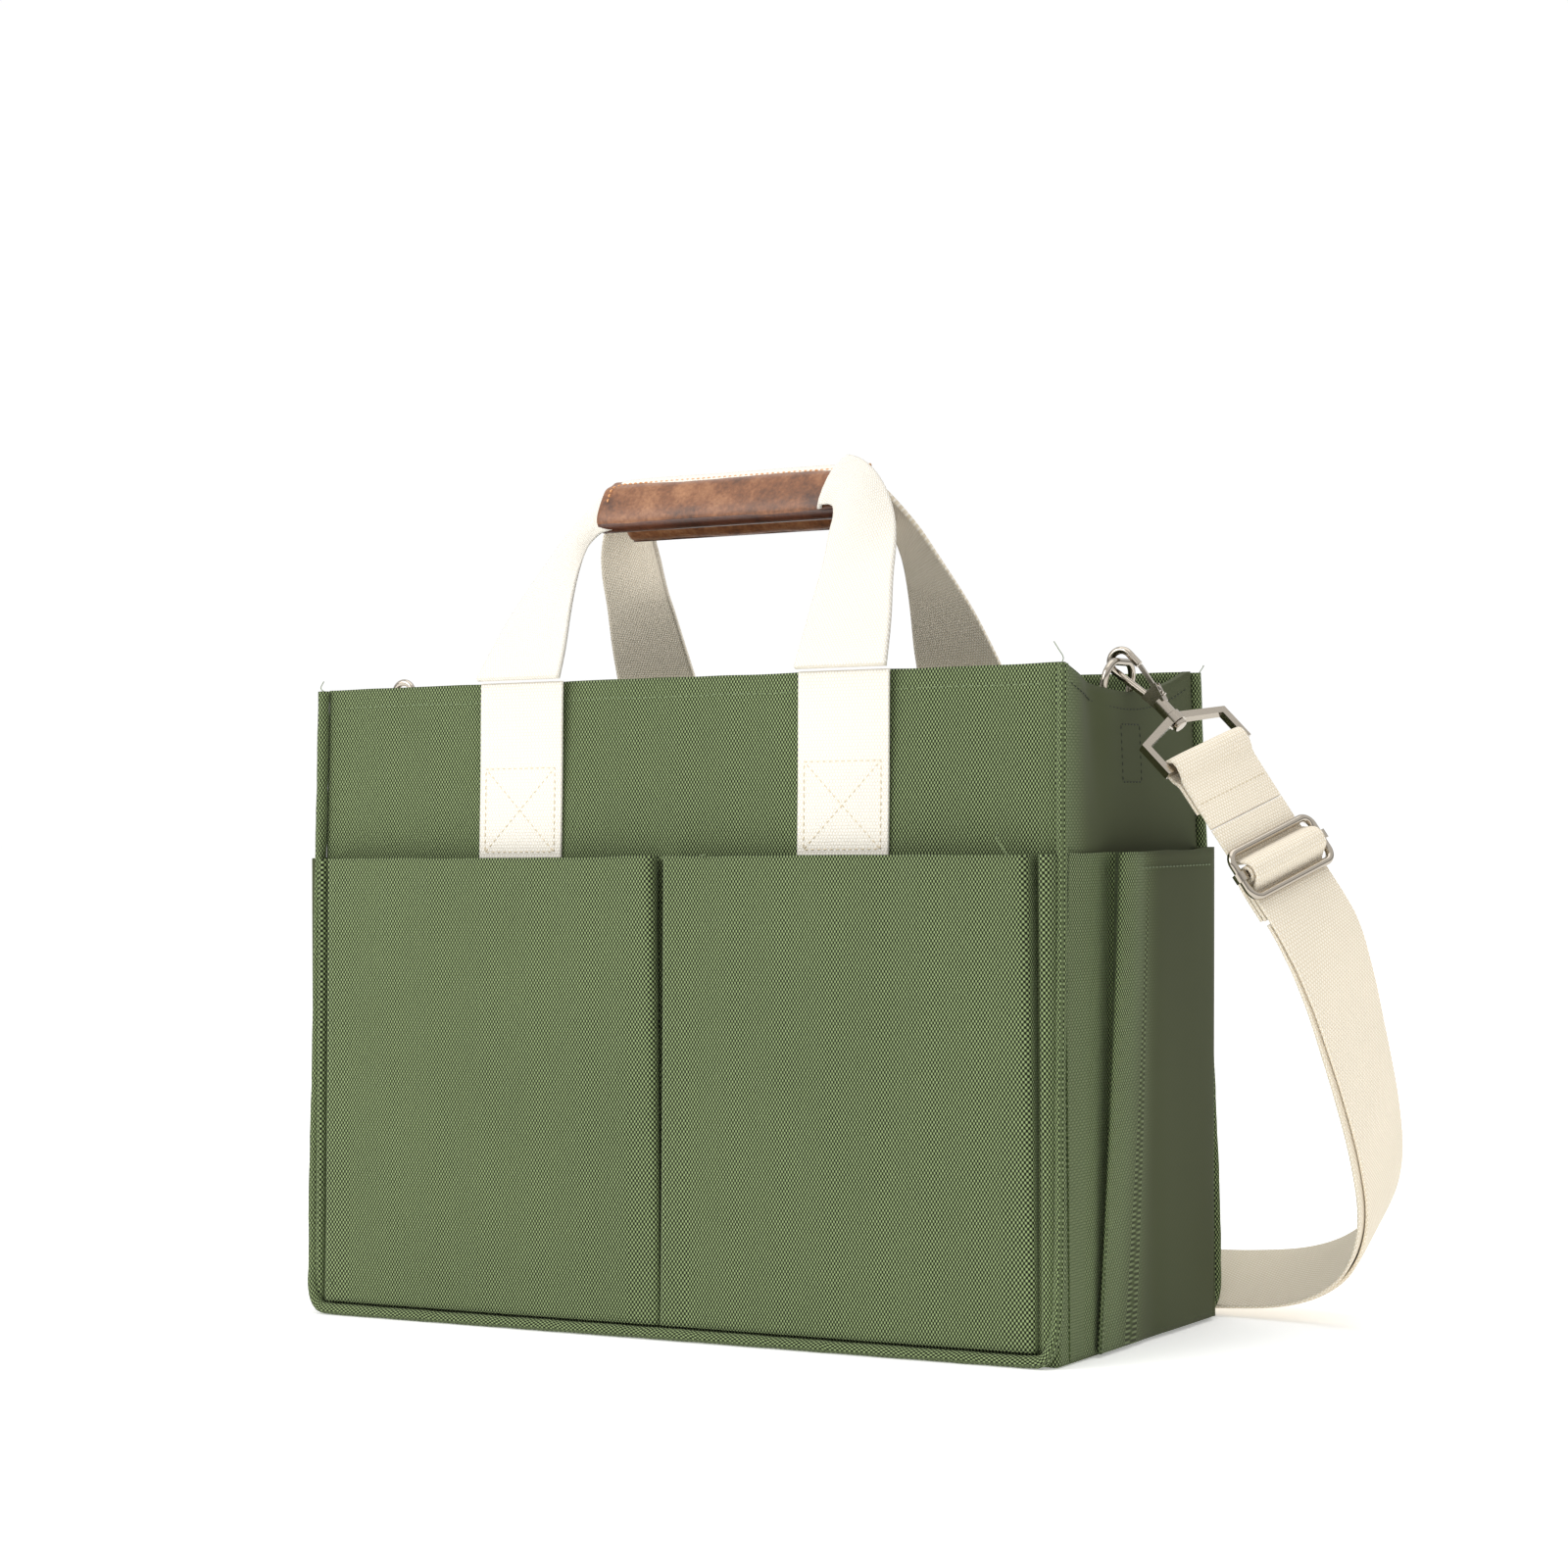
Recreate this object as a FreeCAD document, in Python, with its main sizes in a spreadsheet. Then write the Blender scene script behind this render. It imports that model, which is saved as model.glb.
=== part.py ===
import FreeCAD, Part
import math
import os
import Sketcher

# Garden tool bag: an open canvas tote with pockets all round, two webbing handles with leather
# grips, and a webbing shoulder strap that clips to a D-ring inside each side of the rim.
# Frame: X across the width, -Y the front, +Z up, origin at the middle of the base on the floor.

V = FreeCAD.Vector
doc = FreeCAD.newDocument("garden_tool_bag")

SIZES = [
    ("bag_width", 325, "outer width of the front and back"),
    ("base_depth", 136, "outer depth at the base"),
    ("rim_depth", 112, "outer depth at the rim"),
    ("bag_height", 246, "height of the rim"),
    ("canvas", 1.2, "thickness of the outer canvas"),
    ("board", 2.2, "thickness of the stiffening boards"),
    ("lining", 0.8, "thickness of the lining"),
    ("hem_drop", 16, "height of the turned hem inside the rim"),
    ("hem_thickness", 2, "thickness of the turned hem"),
    ("rim_dip", 9, "sag of the rim over each side"),
    ("corner_cut", 12, "size of the eased bottom corners"),
    ("binding_width", 4, "width of the raised seam along the front and back edges"),
    ("binding_rise", 2, "how far the raised seam stands out"),
    ("pocket_height", 179, "height of every pocket"),
    ("pocket_cloth", 1.2, "thickness of the pocket canvas"),
    ("pocket_foot", 2.5, "how far a pocket stands out at its foot"),
    ("pocket_mouth", 9, "how far a front or back pocket stands out at its top"),
    ("side_mouth", 11, "how far a side pocket stands out at its top"),
    ("pleat_gap", 4, "gap of the pleat between two pockets"),
    ("webbing_width", 38, "width of all the webbing"),
    ("webbing", 1.8, "thickness of all the webbing"),
    ("handle_spacing", 142, "distance between the two legs of a handle"),
    ("front_shift", 4, "how far the front handle sits to the right of the middle"),
    ("back_shift", -9, "how far the back handle sits to the right of the middle"),
    ("handle_lap", 96, "length of a handle leg sewn to the panel"),
    ("handle_reach", 81, "rim to the middle of the grip, along the handle"),
    ("handle_lean", 32, "lean of a handle towards the middle, in degrees"),
    ("handle_standoff", 1.5, "how far the handle bends outside its leg"),
    ("handle_bend", 0.5, "height of the bend above the rim"),
    ("grip_length", 115, "length of a leather grip"),
    ("grip_height", 22, "height of a leather grip"),
    ("grip_thickness", 9, "thickness of a leather grip"),
    ("grip_rounding", 3, "rounding of the grip's long edges"),
    ("ring_wire", 2.8, "wire diameter of the D-rings"),
    ("ring_inside", 20, "inner width of the D-rings"),
    ("ring_reach", 13, "bar to bow of the D-rings, centre to centre"),
    ("ring_drop_right", 1.8, "how far the right D-ring's bar lies under the sagged rim"),
    ("ring_drop_left", -1, "the same for the left D-ring, which is pulled up over the rim"),
    ("ring_standoff", 3, "distance from the rim hem to the D-ring's bar"),
    ("ring_tilt_right", 12, "outward tilt of the right D-ring, in degrees"),
    ("ring_tilt_left", 50, "outward tilt of the left D-ring, in degrees"),
    ("tab_width", 19, "width of the webbing tab that holds a D-ring"),
    ("tab_length", 34, "length of that tab below the D-ring's bar"),
    ("tab_fold", 0.9, "thickness of one layer of that tab"),
    ("fit_gap", 0.05, "running clearance round a pin"),
    ("free_gap", 0.3, "clearance between pieces that move past each other"),
    ("hook_angle_right", 46, "angle of the right hook below the horizontal, in degrees"),
    ("hook_angle_left", 70, "angle of the left hook below the horizontal, in degrees"),
    ("hook_wire", 2.8, "diameter of the hook's round bow"),
    ("hook_bow", 4.3, "radius of the hook's bow, to its centre line"),
    ("barrel_radius", 2.7, "radius of the hook's barrel"),
    ("swivel_radius", 1.6, "radius of the swivel pin"),
    ("swivel_turn", 27.3, "turn of the right strap ring about its hook, in degrees"),
    ("strap_sag", 14, "bend of the right end of the strap under its ring, in degrees"),
    ("loop_bar", 2.8, "width of the bars of the strap rings"),
    ("loop_depth", 3, "thickness of the strap rings"),
    ("loop_inside", 39.4, "inner width of the strap rings"),
    ("slider_wire", 3, "wire diameter of the slider's frame"),
    ("slider_height", 18, "height of the slider's frame, centre to centre"),
    ("slider_corner", 4, "corner radius of the slider's frame"),
    ("slider_bar_wire", 2.6, "diameter of the slider's cross bar"),
]

sheet = doc.addObject("Spreadsheet::Sheet", "Sizes")
for row, (alias, value, meaning) in enumerate(SIZES, start=1):
    sheet.set("A%d" % row, meaning)
    sheet.set("B%d" % row, str(value))
    sheet.setAlias("B%d" % row, alias)
doc.recompute()

NODES = []


def size(alias):
    """The value of one driving dimension."""
    return float(sheet.get(alias))


def value_of(rule):
    """The number that an expression gives now."""
    answer = sheet.evalExpression(rule)
    return float(getattr(answer, "Value", answer))


def keep(obj, label):
    """Name an object as a finished sub-part."""
    obj.Label = label
    NODES.append(obj)
    return obj


def bind(obj, rules):
    """Bind an object's properties to expressions of the sheet."""
    for prop, rule in rules.items():
        obj.setExpression(prop, rule)
    return obj


# The front and back lean inwards: SLOPE is the lean per millimetre of height.
SLOPE = "((Sizes.base_depth - Sizes.rim_depth) / 2 / Sizes.bag_height)"
SECANT = "sqrt(1 + %s * %s)" % (SLOPE, SLOPE)
LEAN = "atan(%s)" % SLOPE


def half_depth(height, inset="0"):
    """Rule for the half depth at a height, taken in by a wall thickness."""
    return "(Sizes.base_depth / 2 - %s * (%s) - %s * (%s))" % (SLOPE, height, SECANT, inset)


# ---------------------------------------------------------------- walls


def frustum(name, half_width, inset, low, high):
    """A block across the whole bag whose front and back lean with the walls."""
    block = doc.addObject("Part::Wedge", name)
    block.Placement = FreeCAD.Placement(V(0, 0, 0), FreeCAD.Rotation(V(1, 0, 0), 90))
    return bind(block, {
        "Xmin": "-(%s)" % half_width, "Xmax": half_width,
        "X2min": "-(%s)" % half_width, "X2max": half_width,
        "Ymin": low, "Ymax": high,
        "Zmin": "-" + half_depth(low, inset), "Zmax": half_depth(low, inset),
        "Z2min": "-" + half_depth(high, inset), "Z2max": half_depth(high, inset),
    })


def wall_slab(name, side, half_width, outer, inner, low, high):
    """A leaning slab of the front (side -1) or back (side 1), between two wall depths."""
    slab = doc.addObject("Part::Wedge", name)
    slab.Placement = FreeCAD.Placement(V(0, 0, 0), FreeCAD.Rotation(V(1, 0, 0), 90))
    near = {height: half_depth(height, inner) for height in (low, high)}
    far = {height: half_depth(height, outer) for height in (low, high)}
    least, most = (near, far) if side < 0 else (far, near)
    sign = "" if side < 0 else "-"
    return bind(slab, {
        "Xmin": "-(%s)" % half_width, "Xmax": half_width,
        "X2min": "-(%s)" % half_width, "X2max": half_width,
        "Ymin": low, "Ymax": high,
        "Zmin": sign + least[low], "Zmax": sign + most[low],
        "Z2min": sign + least[high], "Z2max": sign + most[high],
    })


def cut(name, base, tool):
    """One object cut by another."""
    result = doc.addObject("Part::Cut", name)
    result.Base = base
    result.Tool = tool
    return result


def draw_polygon(sketch, corners):
    """Draw a closed outline whose corners are held by expressions of the sheet."""
    points = [V(value_of(x), value_of(y), 0) for x, y in corners]
    count = len(points)
    first = sketch.GeometryCount
    for i in range(count):
        sketch.addGeometry(Part.LineSegment(points[i], points[(i + 1) % count]), False)
    for i in range(count):
        join = Sketcher.Constraint("Coincident", first + i, 2, first + (i + 1) % count, 1)
        sketch.addConstraint(join)
    for i, rules in enumerate(corners):
        for axis, rule in zip("XY", rules):
            if rule == "0":
                on_axis = -2 if axis == "X" else -1
                sketch.addConstraint(Sketcher.Constraint("PointOnObject", first + i, 1, on_axis))
                continue
            distance = points[i].x if axis == "X" else points[i].y
            rule_index = sketch.addConstraint(
                Sketcher.Constraint("Distance" + axis, -1, 1, first + i, 1, distance))
            sketch.setExpression("Constraints[%d]" % rule_index, rule)


def padded_body(label, outline, thickness, outwards):
    """A PartDesign body: an upright outline padded to the front (-1) or the back (1)."""
    body = doc.addObject("PartDesign::Body", label + "_body")
    sketch = body.newObject("Sketcher::SketchObject", label + "_outline")
    plane = [f for f in body.Origin.OriginFeatures if f.Role == "XZ_Plane"][0]
    sketch.AttachmentSupport = [(plane, "")]
    sketch.MapMode = "FlatFace"
    doc.recompute()
    draw_polygon(sketch, outline)
    pad = body.newObject("PartDesign::Pad", label + "_pad")
    pad.Profile = sketch
    pad.setExpression("Length", thickness)
    pad.Reversed = outwards > 0
    body.Tip = pad
    return keep(body, label)


def lean_outwards(obj, side, inset):
    """Stand an upright piece on a leaning wall, its back on the plane at this inset."""
    obj.Placement = FreeCAD.Placement(V(0, 0, 0), FreeCAD.Rotation(V(1, 0, 0), 1))
    sign = "-" if side < 0 else ""
    obj.setExpression("Placement.Base.y", "%s%s" % (sign, half_depth("0", inset)))
    obj.setExpression("Placement.Rotation.Angle", "%s%s" % (sign, LEAN))


HALF_WIDTH = "Sizes.bag_width / 2"
WALL_LENGTH = "Sizes.bag_height * " + SECANT
INSIDE_CANVAS = "Sizes.bag_width / 2 - Sizes.canvas"
HEM_FOOT = "Sizes.bag_height - Sizes.hem_drop"
BOARD_TOP = "Sizes.canvas + Sizes.board"


def panel_outline():
    """Front or back panel with eased bottom corners."""
    edge, ease = HALF_WIDTH, "Sizes.corner_cut"
    return [("-(%s) + %s" % (edge, ease), "0"), ("%s - %s" % (edge, ease), "0"),
            (edge, ease), (edge, WALL_LENGTH),
            ("-(%s)" % edge, WALL_LENGTH), ("-(%s)" % edge, ease)]


def binding_outline():
    """The raised seam: down one edge, round the eased corners and up the other."""
    edge, ease, band = HALF_WIDTH, "Sizes.corner_cut", "Sizes.binding_width"
    inner_ease = "%s * (sqrt(2) - 1)" % band
    return [("-(%s)" % edge, WALL_LENGTH), ("-(%s)" % edge, ease),
            ("-(%s) + %s" % (edge, ease), "0"), ("%s - %s" % (edge, ease), "0"),
            (edge, ease), (edge, WALL_LENGTH),
            ("%s - %s" % (edge, band), WALL_LENGTH),
            ("%s - %s" % (edge, band), "%s + %s" % (ease, inner_ease)),
            ("%s - %s - %s" % (edge, ease, inner_ease), band),
            ("-(%s) + %s + %s" % (edge, ease, inner_ease), band),
            ("-(%s) + %s" % (edge, band), "%s + %s" % (ease, inner_ease)),
            ("-(%s) + %s" % (edge, band), WALL_LENGTH)]


def make_walls():
    """Canvas panels, boards, lining, hem and raised seams."""
    for side, word in ((-1, "front"), (1, "back")):
        panel = padded_body(word + "_panel", panel_outline(), "Sizes.canvas", side)
        lean_outwards(panel, side, "Sizes.canvas")
        seam = padded_body(word + "_seam_binding", binding_outline(), "Sizes.binding_rise", side)
        lean_outwards(seam, side, "0")
        keep(wall_slab(word + "_board_slab", side, INSIDE_CANVAS, "Sizes.canvas", BOARD_TOP,
                       "Sizes.canvas", HEM_FOOT), word + "_board")

    keep(frustum("base_cloth", HALF_WIDTH, "Sizes.canvas", "0", "Sizes.canvas"), "base_panel")
    keep(frustum("base_stiffener", INSIDE_CANVAS, BOARD_TOP, "Sizes.canvas", BOARD_TOP),
         "base_board")

    lining_outer = frustum("lining_outer", INSIDE_CANVAS, BOARD_TOP, BOARD_TOP, HEM_FOOT)
    lining_inner = frustum("lining_inner", INSIDE_CANVAS + " - Sizes.lining",
                           BOARD_TOP + " + Sizes.lining", BOARD_TOP + " + Sizes.lining",
                           HEM_FOOT + " + 1")
    keep(cut("lining_shell", lining_outer, lining_inner), "lining")

    dips = [rim_dip_cutter(side) for side in (1, -1)]
    hem_outer = frustum("hem_outer", INSIDE_CANVAS, "Sizes.canvas", HEM_FOOT, "Sizes.bag_height")
    hem_inner = frustum("hem_inner", INSIDE_CANVAS + " - Sizes.hem_thickness",
                        "Sizes.canvas + Sizes.hem_thickness", HEM_FOOT + " - 1",
                        "Sizes.bag_height + 1")
    hem = cut("hem_ring", hem_outer, hem_inner)
    for number, dip in enumerate(dips):
        hem = cut("hem_dipped_%d" % number, hem, dip)
    keep(hem, "rim_hem")

    for side, dip, word in ((1, dips[0], "right"), (-1, dips[1], "left")):
        cloth = frustum("side_block_" + word, HALF_WIDTH, "Sizes.canvas", "Sizes.canvas",
                        "Sizes.bag_height")
        inner, outer = INSIDE_CANVAS, HALF_WIDTH
        low, high = (inner, outer) if side > 0 else ("-(%s)" % outer, "-(%s)" % inner)
        bind(cloth, {"Xmin": low, "X2min": low, "Xmax": high, "X2max": high})
        keep(cut("side_cloth_" + word, cloth, dip), "side_panel_" + word)


def rim_dip_cutter(side):
    """A lying cylinder that cuts the sag of the rim over one side of the bag."""
    word = "right" if side > 0 else "left"
    dip = "Sizes.rim_dip"
    reach = half_depth("Sizes.bag_height")
    radius = "(%s * %s + %s * %s) / (2 * %s)" % (reach, reach, dip, dip, dip)
    cutter = doc.addObject("Part::Cylinder", "rim_dip_" + word)
    cutter.Placement = FreeCAD.Placement(V(0, 0, 0), FreeCAD.Rotation(V(0, 1, 0), 90))
    start = "Sizes.bag_width / 2 - 8" if side > 0 else "-Sizes.bag_width / 2 - 8"
    return bind(cutter, {"Radius": radius, "Height": "16", "Placement.Base.x": start,
                         "Placement.Base.z": "Sizes.bag_height - %s + %s" % (dip, radius)})


# ---------------------------------------------------------------- pockets

POCKET_LOW = "Sizes.binding_width"
POCKET_FLOOR = "(Sizes.binding_width + Sizes.pocket_cloth)"


def pocket_block(name, low, high, spans, depths):
    """A block that deepens from its foot to its mouth: X along the wall, Z out of it."""
    block = doc.addObject("Part::Wedge", name)
    (x_low, x_high), (x_low_top, x_high_top) = spans
    (z_low, z_high), (z_low_top, z_high_top) = depths
    return bind(block, {"Ymin": low, "Ymax": high,
                        "Xmin": x_low, "Xmax": x_high, "X2min": x_low_top, "X2max": x_high_top,
                        "Zmin": z_low, "Zmax": z_high, "Z2min": z_low_top, "Z2max": z_high_top})


def pocket_depth(height, mouth, inset, sign):
    """Rule for how far a pocket stands out at a height."""
    rise = "(Sizes.pocket_foot + (%s - Sizes.pocket_foot) * (%s) / Sizes.pocket_height)"
    return "%s(%s - %s)" % (sign, rise % (mouth, height), inset)


def pocket_shell(name, ends, mouth, sign):
    """A patch pocket: a face, two ends and a foot, open at the top and at the wall.

    ends gives, for a height and an inset, the rules of the pocket's two ends there.
    """
    cloth = "Sizes.pocket_cloth"
    top, over = "Sizes.pocket_height", "(Sizes.pocket_height + 1)"

    def depths(height, inset, back):
        face = pocket_depth(height, mouth, inset, sign)
        return (back, face) if sign == "" else (face, back)

    outer = pocket_block(name + "_outer", POCKET_LOW, top,
                         (ends(POCKET_LOW, "0"), ends(top, "0")),
                         (depths(POCKET_LOW, "0", "0"), depths(top, "0", "0")))
    back = "-1" if sign == "" else "1"
    inner = pocket_block(name + "_inner", POCKET_FLOOR, over,
                         (ends(POCKET_FLOOR, cloth), ends(over, cloth)),
                         (depths(POCKET_FLOOR, cloth, back), depths(over, cloth, back)))
    return cut(name + "_shell", outer, inner), (outer, inner)


def pocket_edge(height):
    """Rule for a pocket's outer edge: inside the eased corner below, at the seam above."""
    corner = "(Sizes.bag_width / 2 - Sizes.corner_cut - Sizes.binding_width * (sqrt(2) - 1))"
    seam = "(Sizes.bag_width / 2 - Sizes.binding_width)"
    share = "((%s - Sizes.binding_width) / (Sizes.pocket_height - Sizes.binding_width))" % height
    return "(%s + (%s - %s) * %s)" % (corner, seam, corner, share)


def make_pockets():
    """Two pockets on the front and back and one on each side."""
    for side, wall in ((-1, "front"), (1, "back")):
        for hand, word in ((1, "right"), (-1, "left")):
            def ends(height, inset, hand=hand):
                low = "(Sizes.pleat_gap / 2 + %s)" % inset
                high = "(%s - %s)" % (pocket_edge(height), inset)
                return (low, high) if hand > 0 else ("-" + high, "-" + low)

            shell, blocks = pocket_shell("%s_pocket_%s" % (wall, word), ends,
                                         "Sizes.pocket_mouth", "" if side < 0 else "-")
            sign = "-" if side < 0 else ""
            for block in blocks:
                block.Placement = FreeCAD.Placement(V(0, 0, 0),
                                                    FreeCAD.Rotation(V(1, 0, 0), 90))
                tilt = "90 deg %s %s" % ("-" if side < 0 else "+", LEAN)
                bind(block, {"Placement.Base.y": sign + half_depth("0"),
                             "Placement.Rotation.Angle": tilt})
            keep(shell, "%s_pocket_%s" % (wall, word))

    for hand, word in ((1, "right"), (-1, "left")):
        def ends(height, inset):
            edge = "(%s - Sizes.binding_width - %s)" % (half_depth(height), inset)
            return "-" + edge, edge

        shell, blocks = pocket_shell("side_pocket_" + word, ends, "Sizes.side_mouth", "")
        turn = FreeCAD.Rotation(V(0, 0, 1), 0 if hand > 0 else 180)
        upright = FreeCAD.Rotation(V(1, 1, 1), 120)
        for block in blocks:
            block.Placement = FreeCAD.Placement(V(0, 0, 0), turn.multiply(upright))
            block.setExpression("Placement.Base.x", ("" if hand > 0 else "-") + HALF_WIDTH)
        keep(shell, "side_pocket_" + word)


# ---------------------------------------------------------------- handles


def make_handle_legs():
    """The four webbing legs sewn to the front and back panels."""
    for side, wall in ((-1, "front"), (1, "back")):
        for hand, word in ((1, "right"), (-1, "left")):
            leg = doc.addObject("Part::Box", "%s_leg_%s_webbing" % (wall, word))
            leg.Placement = FreeCAD.Placement(V(0, 0, 0), FreeCAD.Rotation(V(1, 0, 0), 1))
            sign = "-" if side < 0 else ""
            foot = "(Sizes.bag_height - Sizes.handle_lap * cos(%s))" % LEAN
            out = "Sizes.webbing" if side < 0 else "0"
            bind(leg, {
                "Length": "Sizes.webbing_width", "Width": "Sizes.webbing",
                "Height": "Sizes.handle_lap",
                "Placement.Base.x": "Sizes.%s_shift + %d * Sizes.handle_spacing / 2"
                                    " - Sizes.webbing_width / 2" % (wall, hand),
                "Placement.Base.y": "%s(%s + %s * cos(%s))" % (sign, half_depth(foot), out, LEAN),
                "Placement.Base.z": "%s + %s * sin(%s)" % (foot, out, LEAN),
                "Placement.Rotation.Angle": sign + LEAN,
            })
            keep(leg, "%s_leg_%s" % (wall, word))


def handle_outline():
    """One handle above the rim: two legs that draw in to the band inside the grip."""
    leg_out = "Sizes.handle_spacing / 2 + Sizes.webbing_width / 2"
    leg_in = "Sizes.handle_spacing / 2 - Sizes.webbing_width / 2"
    band_out = "Sizes.grip_length / 2 + 4"
    band_in = "Sizes.grip_length / 2 - 8"
    foot = "2 * Sizes.handle_bend"
    low = "Sizes.handle_reach - Sizes.webbing_width / 4"
    high = "Sizes.handle_reach + Sizes.webbing_width / 4"
    right = [(leg_in, foot), (leg_out, foot), (band_out, high)]
    left = [("-(%s)" % x, y) for x, y in reversed(right)]
    return right + left + [("-(%s)" % band_in, low), (band_in, low)]


HANDLE_AXIS_Y = "(%s + Sizes.webbing + Sizes.handle_standoff)" % half_depth("Sizes.bag_height")
HANDLE_AXIS_Z = "(Sizes.bag_height + Sizes.handle_bend)"


def make_handles():
    """The moving upper part of both handles, with their leather grips."""
    for side, wall in ((-1, "front"), (1, "back")):
        sign = "-" if side < 0 else ""
        webbing = padded_body(wall + "_handle_webbing", handle_outline(), "Sizes.webbing", side)
        lean = "%s(Sizes.handle_lean * 1 deg)" % sign
        webbing.Placement = FreeCAD.Placement(V(0, 0, 0), FreeCAD.Rotation(V(1, 0, 0), 1))
        inner_face = "(%s - Sizes.webbing / 2 * cos(Sizes.handle_lean * 1 deg))" % HANDLE_AXIS_Y
        bind(webbing, {
            "Placement.Base.x": "Sizes.%s_shift" % wall,
            "Placement.Base.y": sign + inner_face,
            "Placement.Base.z": "%s - Sizes.webbing / 2 * sin(Sizes.handle_lean * 1 deg)"
                                % HANDLE_AXIS_Z,
            "Placement.Rotation.Angle": lean,
        })
        block = doc.addObject("Part::Box", wall + "_grip_block")
        block.Placement = FreeCAD.Placement(V(0, 0, 0), FreeCAD.Rotation(V(1, 0, 0), 1))
        reach = "(Sizes.handle_reach - Sizes.grip_height / 2)"
        thick = "Sizes.grip_thickness / 2"
        cosine, sine = "cos(Sizes.handle_lean * 1 deg)", "sin(Sizes.handle_lean * 1 deg)"
        y_rule = "%s%s %s %s * %s - %s * %s" % (
            sign, HANDLE_AXIS_Y, "+" if side < 0 else "-", reach, sine, thick, cosine)
        z_rule = "%s + %s * %s %s %s * %s" % (
            HANDLE_AXIS_Z, reach, cosine, "+" if side < 0 else "-", thick, sine)
        bind(block, {
            "Length": "Sizes.grip_length", "Width": "Sizes.grip_thickness",
            "Height": "Sizes.grip_height",
            "Placement.Base.x": "Sizes.%s_shift - Sizes.grip_length / 2" % wall,
            "Placement.Base.y": y_rule, "Placement.Base.z": z_rule,
            "Placement.Rotation.Angle": lean,
        })
        doc.recompute()
        rounded = doc.addObject("Part::Fillet", wall + "_grip_rounded")
        rounded.Base = block
        radius = min(size("grip_rounding"), 0.45 * size("grip_thickness"))
        long_edges = [i for i, edge in enumerate(block.Shape.Edges, start=1)
                      if abs(edge.Length - size("grip_length")) < 1e-6]
        rounded.Edges = [(i, radius, radius) for i in long_edges]
        keep(cut(wall + "_grip_wrap", rounded, webbing), wall + "_grip")


# ---------------------------------------------------------------- D-rings and hooks


def solid_feature(label, shape, placement):
    """A sub-part whose shape is worked out from the sheet in code."""
    feature = doc.addObject("Part::Feature", label + "_solid")
    feature.Shape = shape
    feature.Placement = placement
    return keep(feature, label)


def rod(radius, start, end):
    """A round rod between two points."""
    along = end - start
    return Part.makeCylinder(radius, along.Length, start, along)


def swept(radius, edges):
    """A round wire carried along tangent edges."""
    path = Part.Wire(edges)
    first = edges[0]
    start = first.valueAt(first.FirstParameter)
    tangent = first.tangentAt(first.FirstParameter)
    ring = Part.Wire([Part.Circle(start, tangent, radius).toShape()])
    return path.makePipeShell([ring], True, False)


def profile(points, width):
    """A solid with this (X, Z) outline, centred across Y."""
    corners = [V(x, -width / 2, z) for x, z in points]
    face = Part.Face(Part.makePolygon(corners + corners[:1]))
    return face.extrude(V(0, width, 0))


def ring_centre(hand):
    """Middle of the D-ring's bar."""
    word = "right" if hand > 0 else "left"
    x = size("bag_width") / 2 - size("canvas") - size("hem_thickness") - size("ring_standoff")
    z = size("bag_height") - size("rim_dip") - size("ring_drop_" + word)
    return V(hand * x, 0, z)


def side_turn(hand):
    """Turns a piece made for the right side to face the left."""
    return FreeCAD.Rotation(V(0, 0, 1), 0 if hand > 0 else 180)


def ring_frame(hand):
    """Frame of a D-ring: origin on its bar, Z towards its bow."""
    word = "right" if hand > 0 else "left"
    tilt = FreeCAD.Rotation(V(0, 1, 0), size("ring_tilt_" + word))
    return FreeCAD.Placement(ring_centre(hand), side_turn(hand).multiply(tilt))


def hook_frame(hand):
    """Frame of a hook: origin in its bow, -Z towards the strap, X towards the gate."""
    word = "right" if hand > 0 else "left"
    bow = ring_frame(hand).multVec(V(0, 0, size("ring_reach")))
    aim = FreeCAD.Rotation(V(0, 1, 0), size("hook_angle_" + word) - 90)
    return FreeCAD.Placement(bow, side_turn(hand).multiply(aim))


def loop_frame(hand):
    """Frame of a strap ring: as its hook, turned on the swivel; Y runs across the strap."""
    turn = -size("swivel_turn") if hand > 0 else 0
    frame = hook_frame(hand)
    frame.Rotation = frame.Rotation.multiply(FreeCAD.Rotation(V(0, 0, 1), turn))
    return frame


def strap_frame():
    """Frame of the right end of the strap: as its ring, bent down about the ring's bar."""
    bar = V(0, 0, BAR_TOP - size("loop_bar") / 2)
    bend = FreeCAD.Placement(bar, FreeCAD.Rotation(V(0, 1, 0), size("strap_sag")))
    return loop_frame(1).multiply(bend).multiply(FreeCAD.Placement(bar * -1, FreeCAD.Rotation()))


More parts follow.
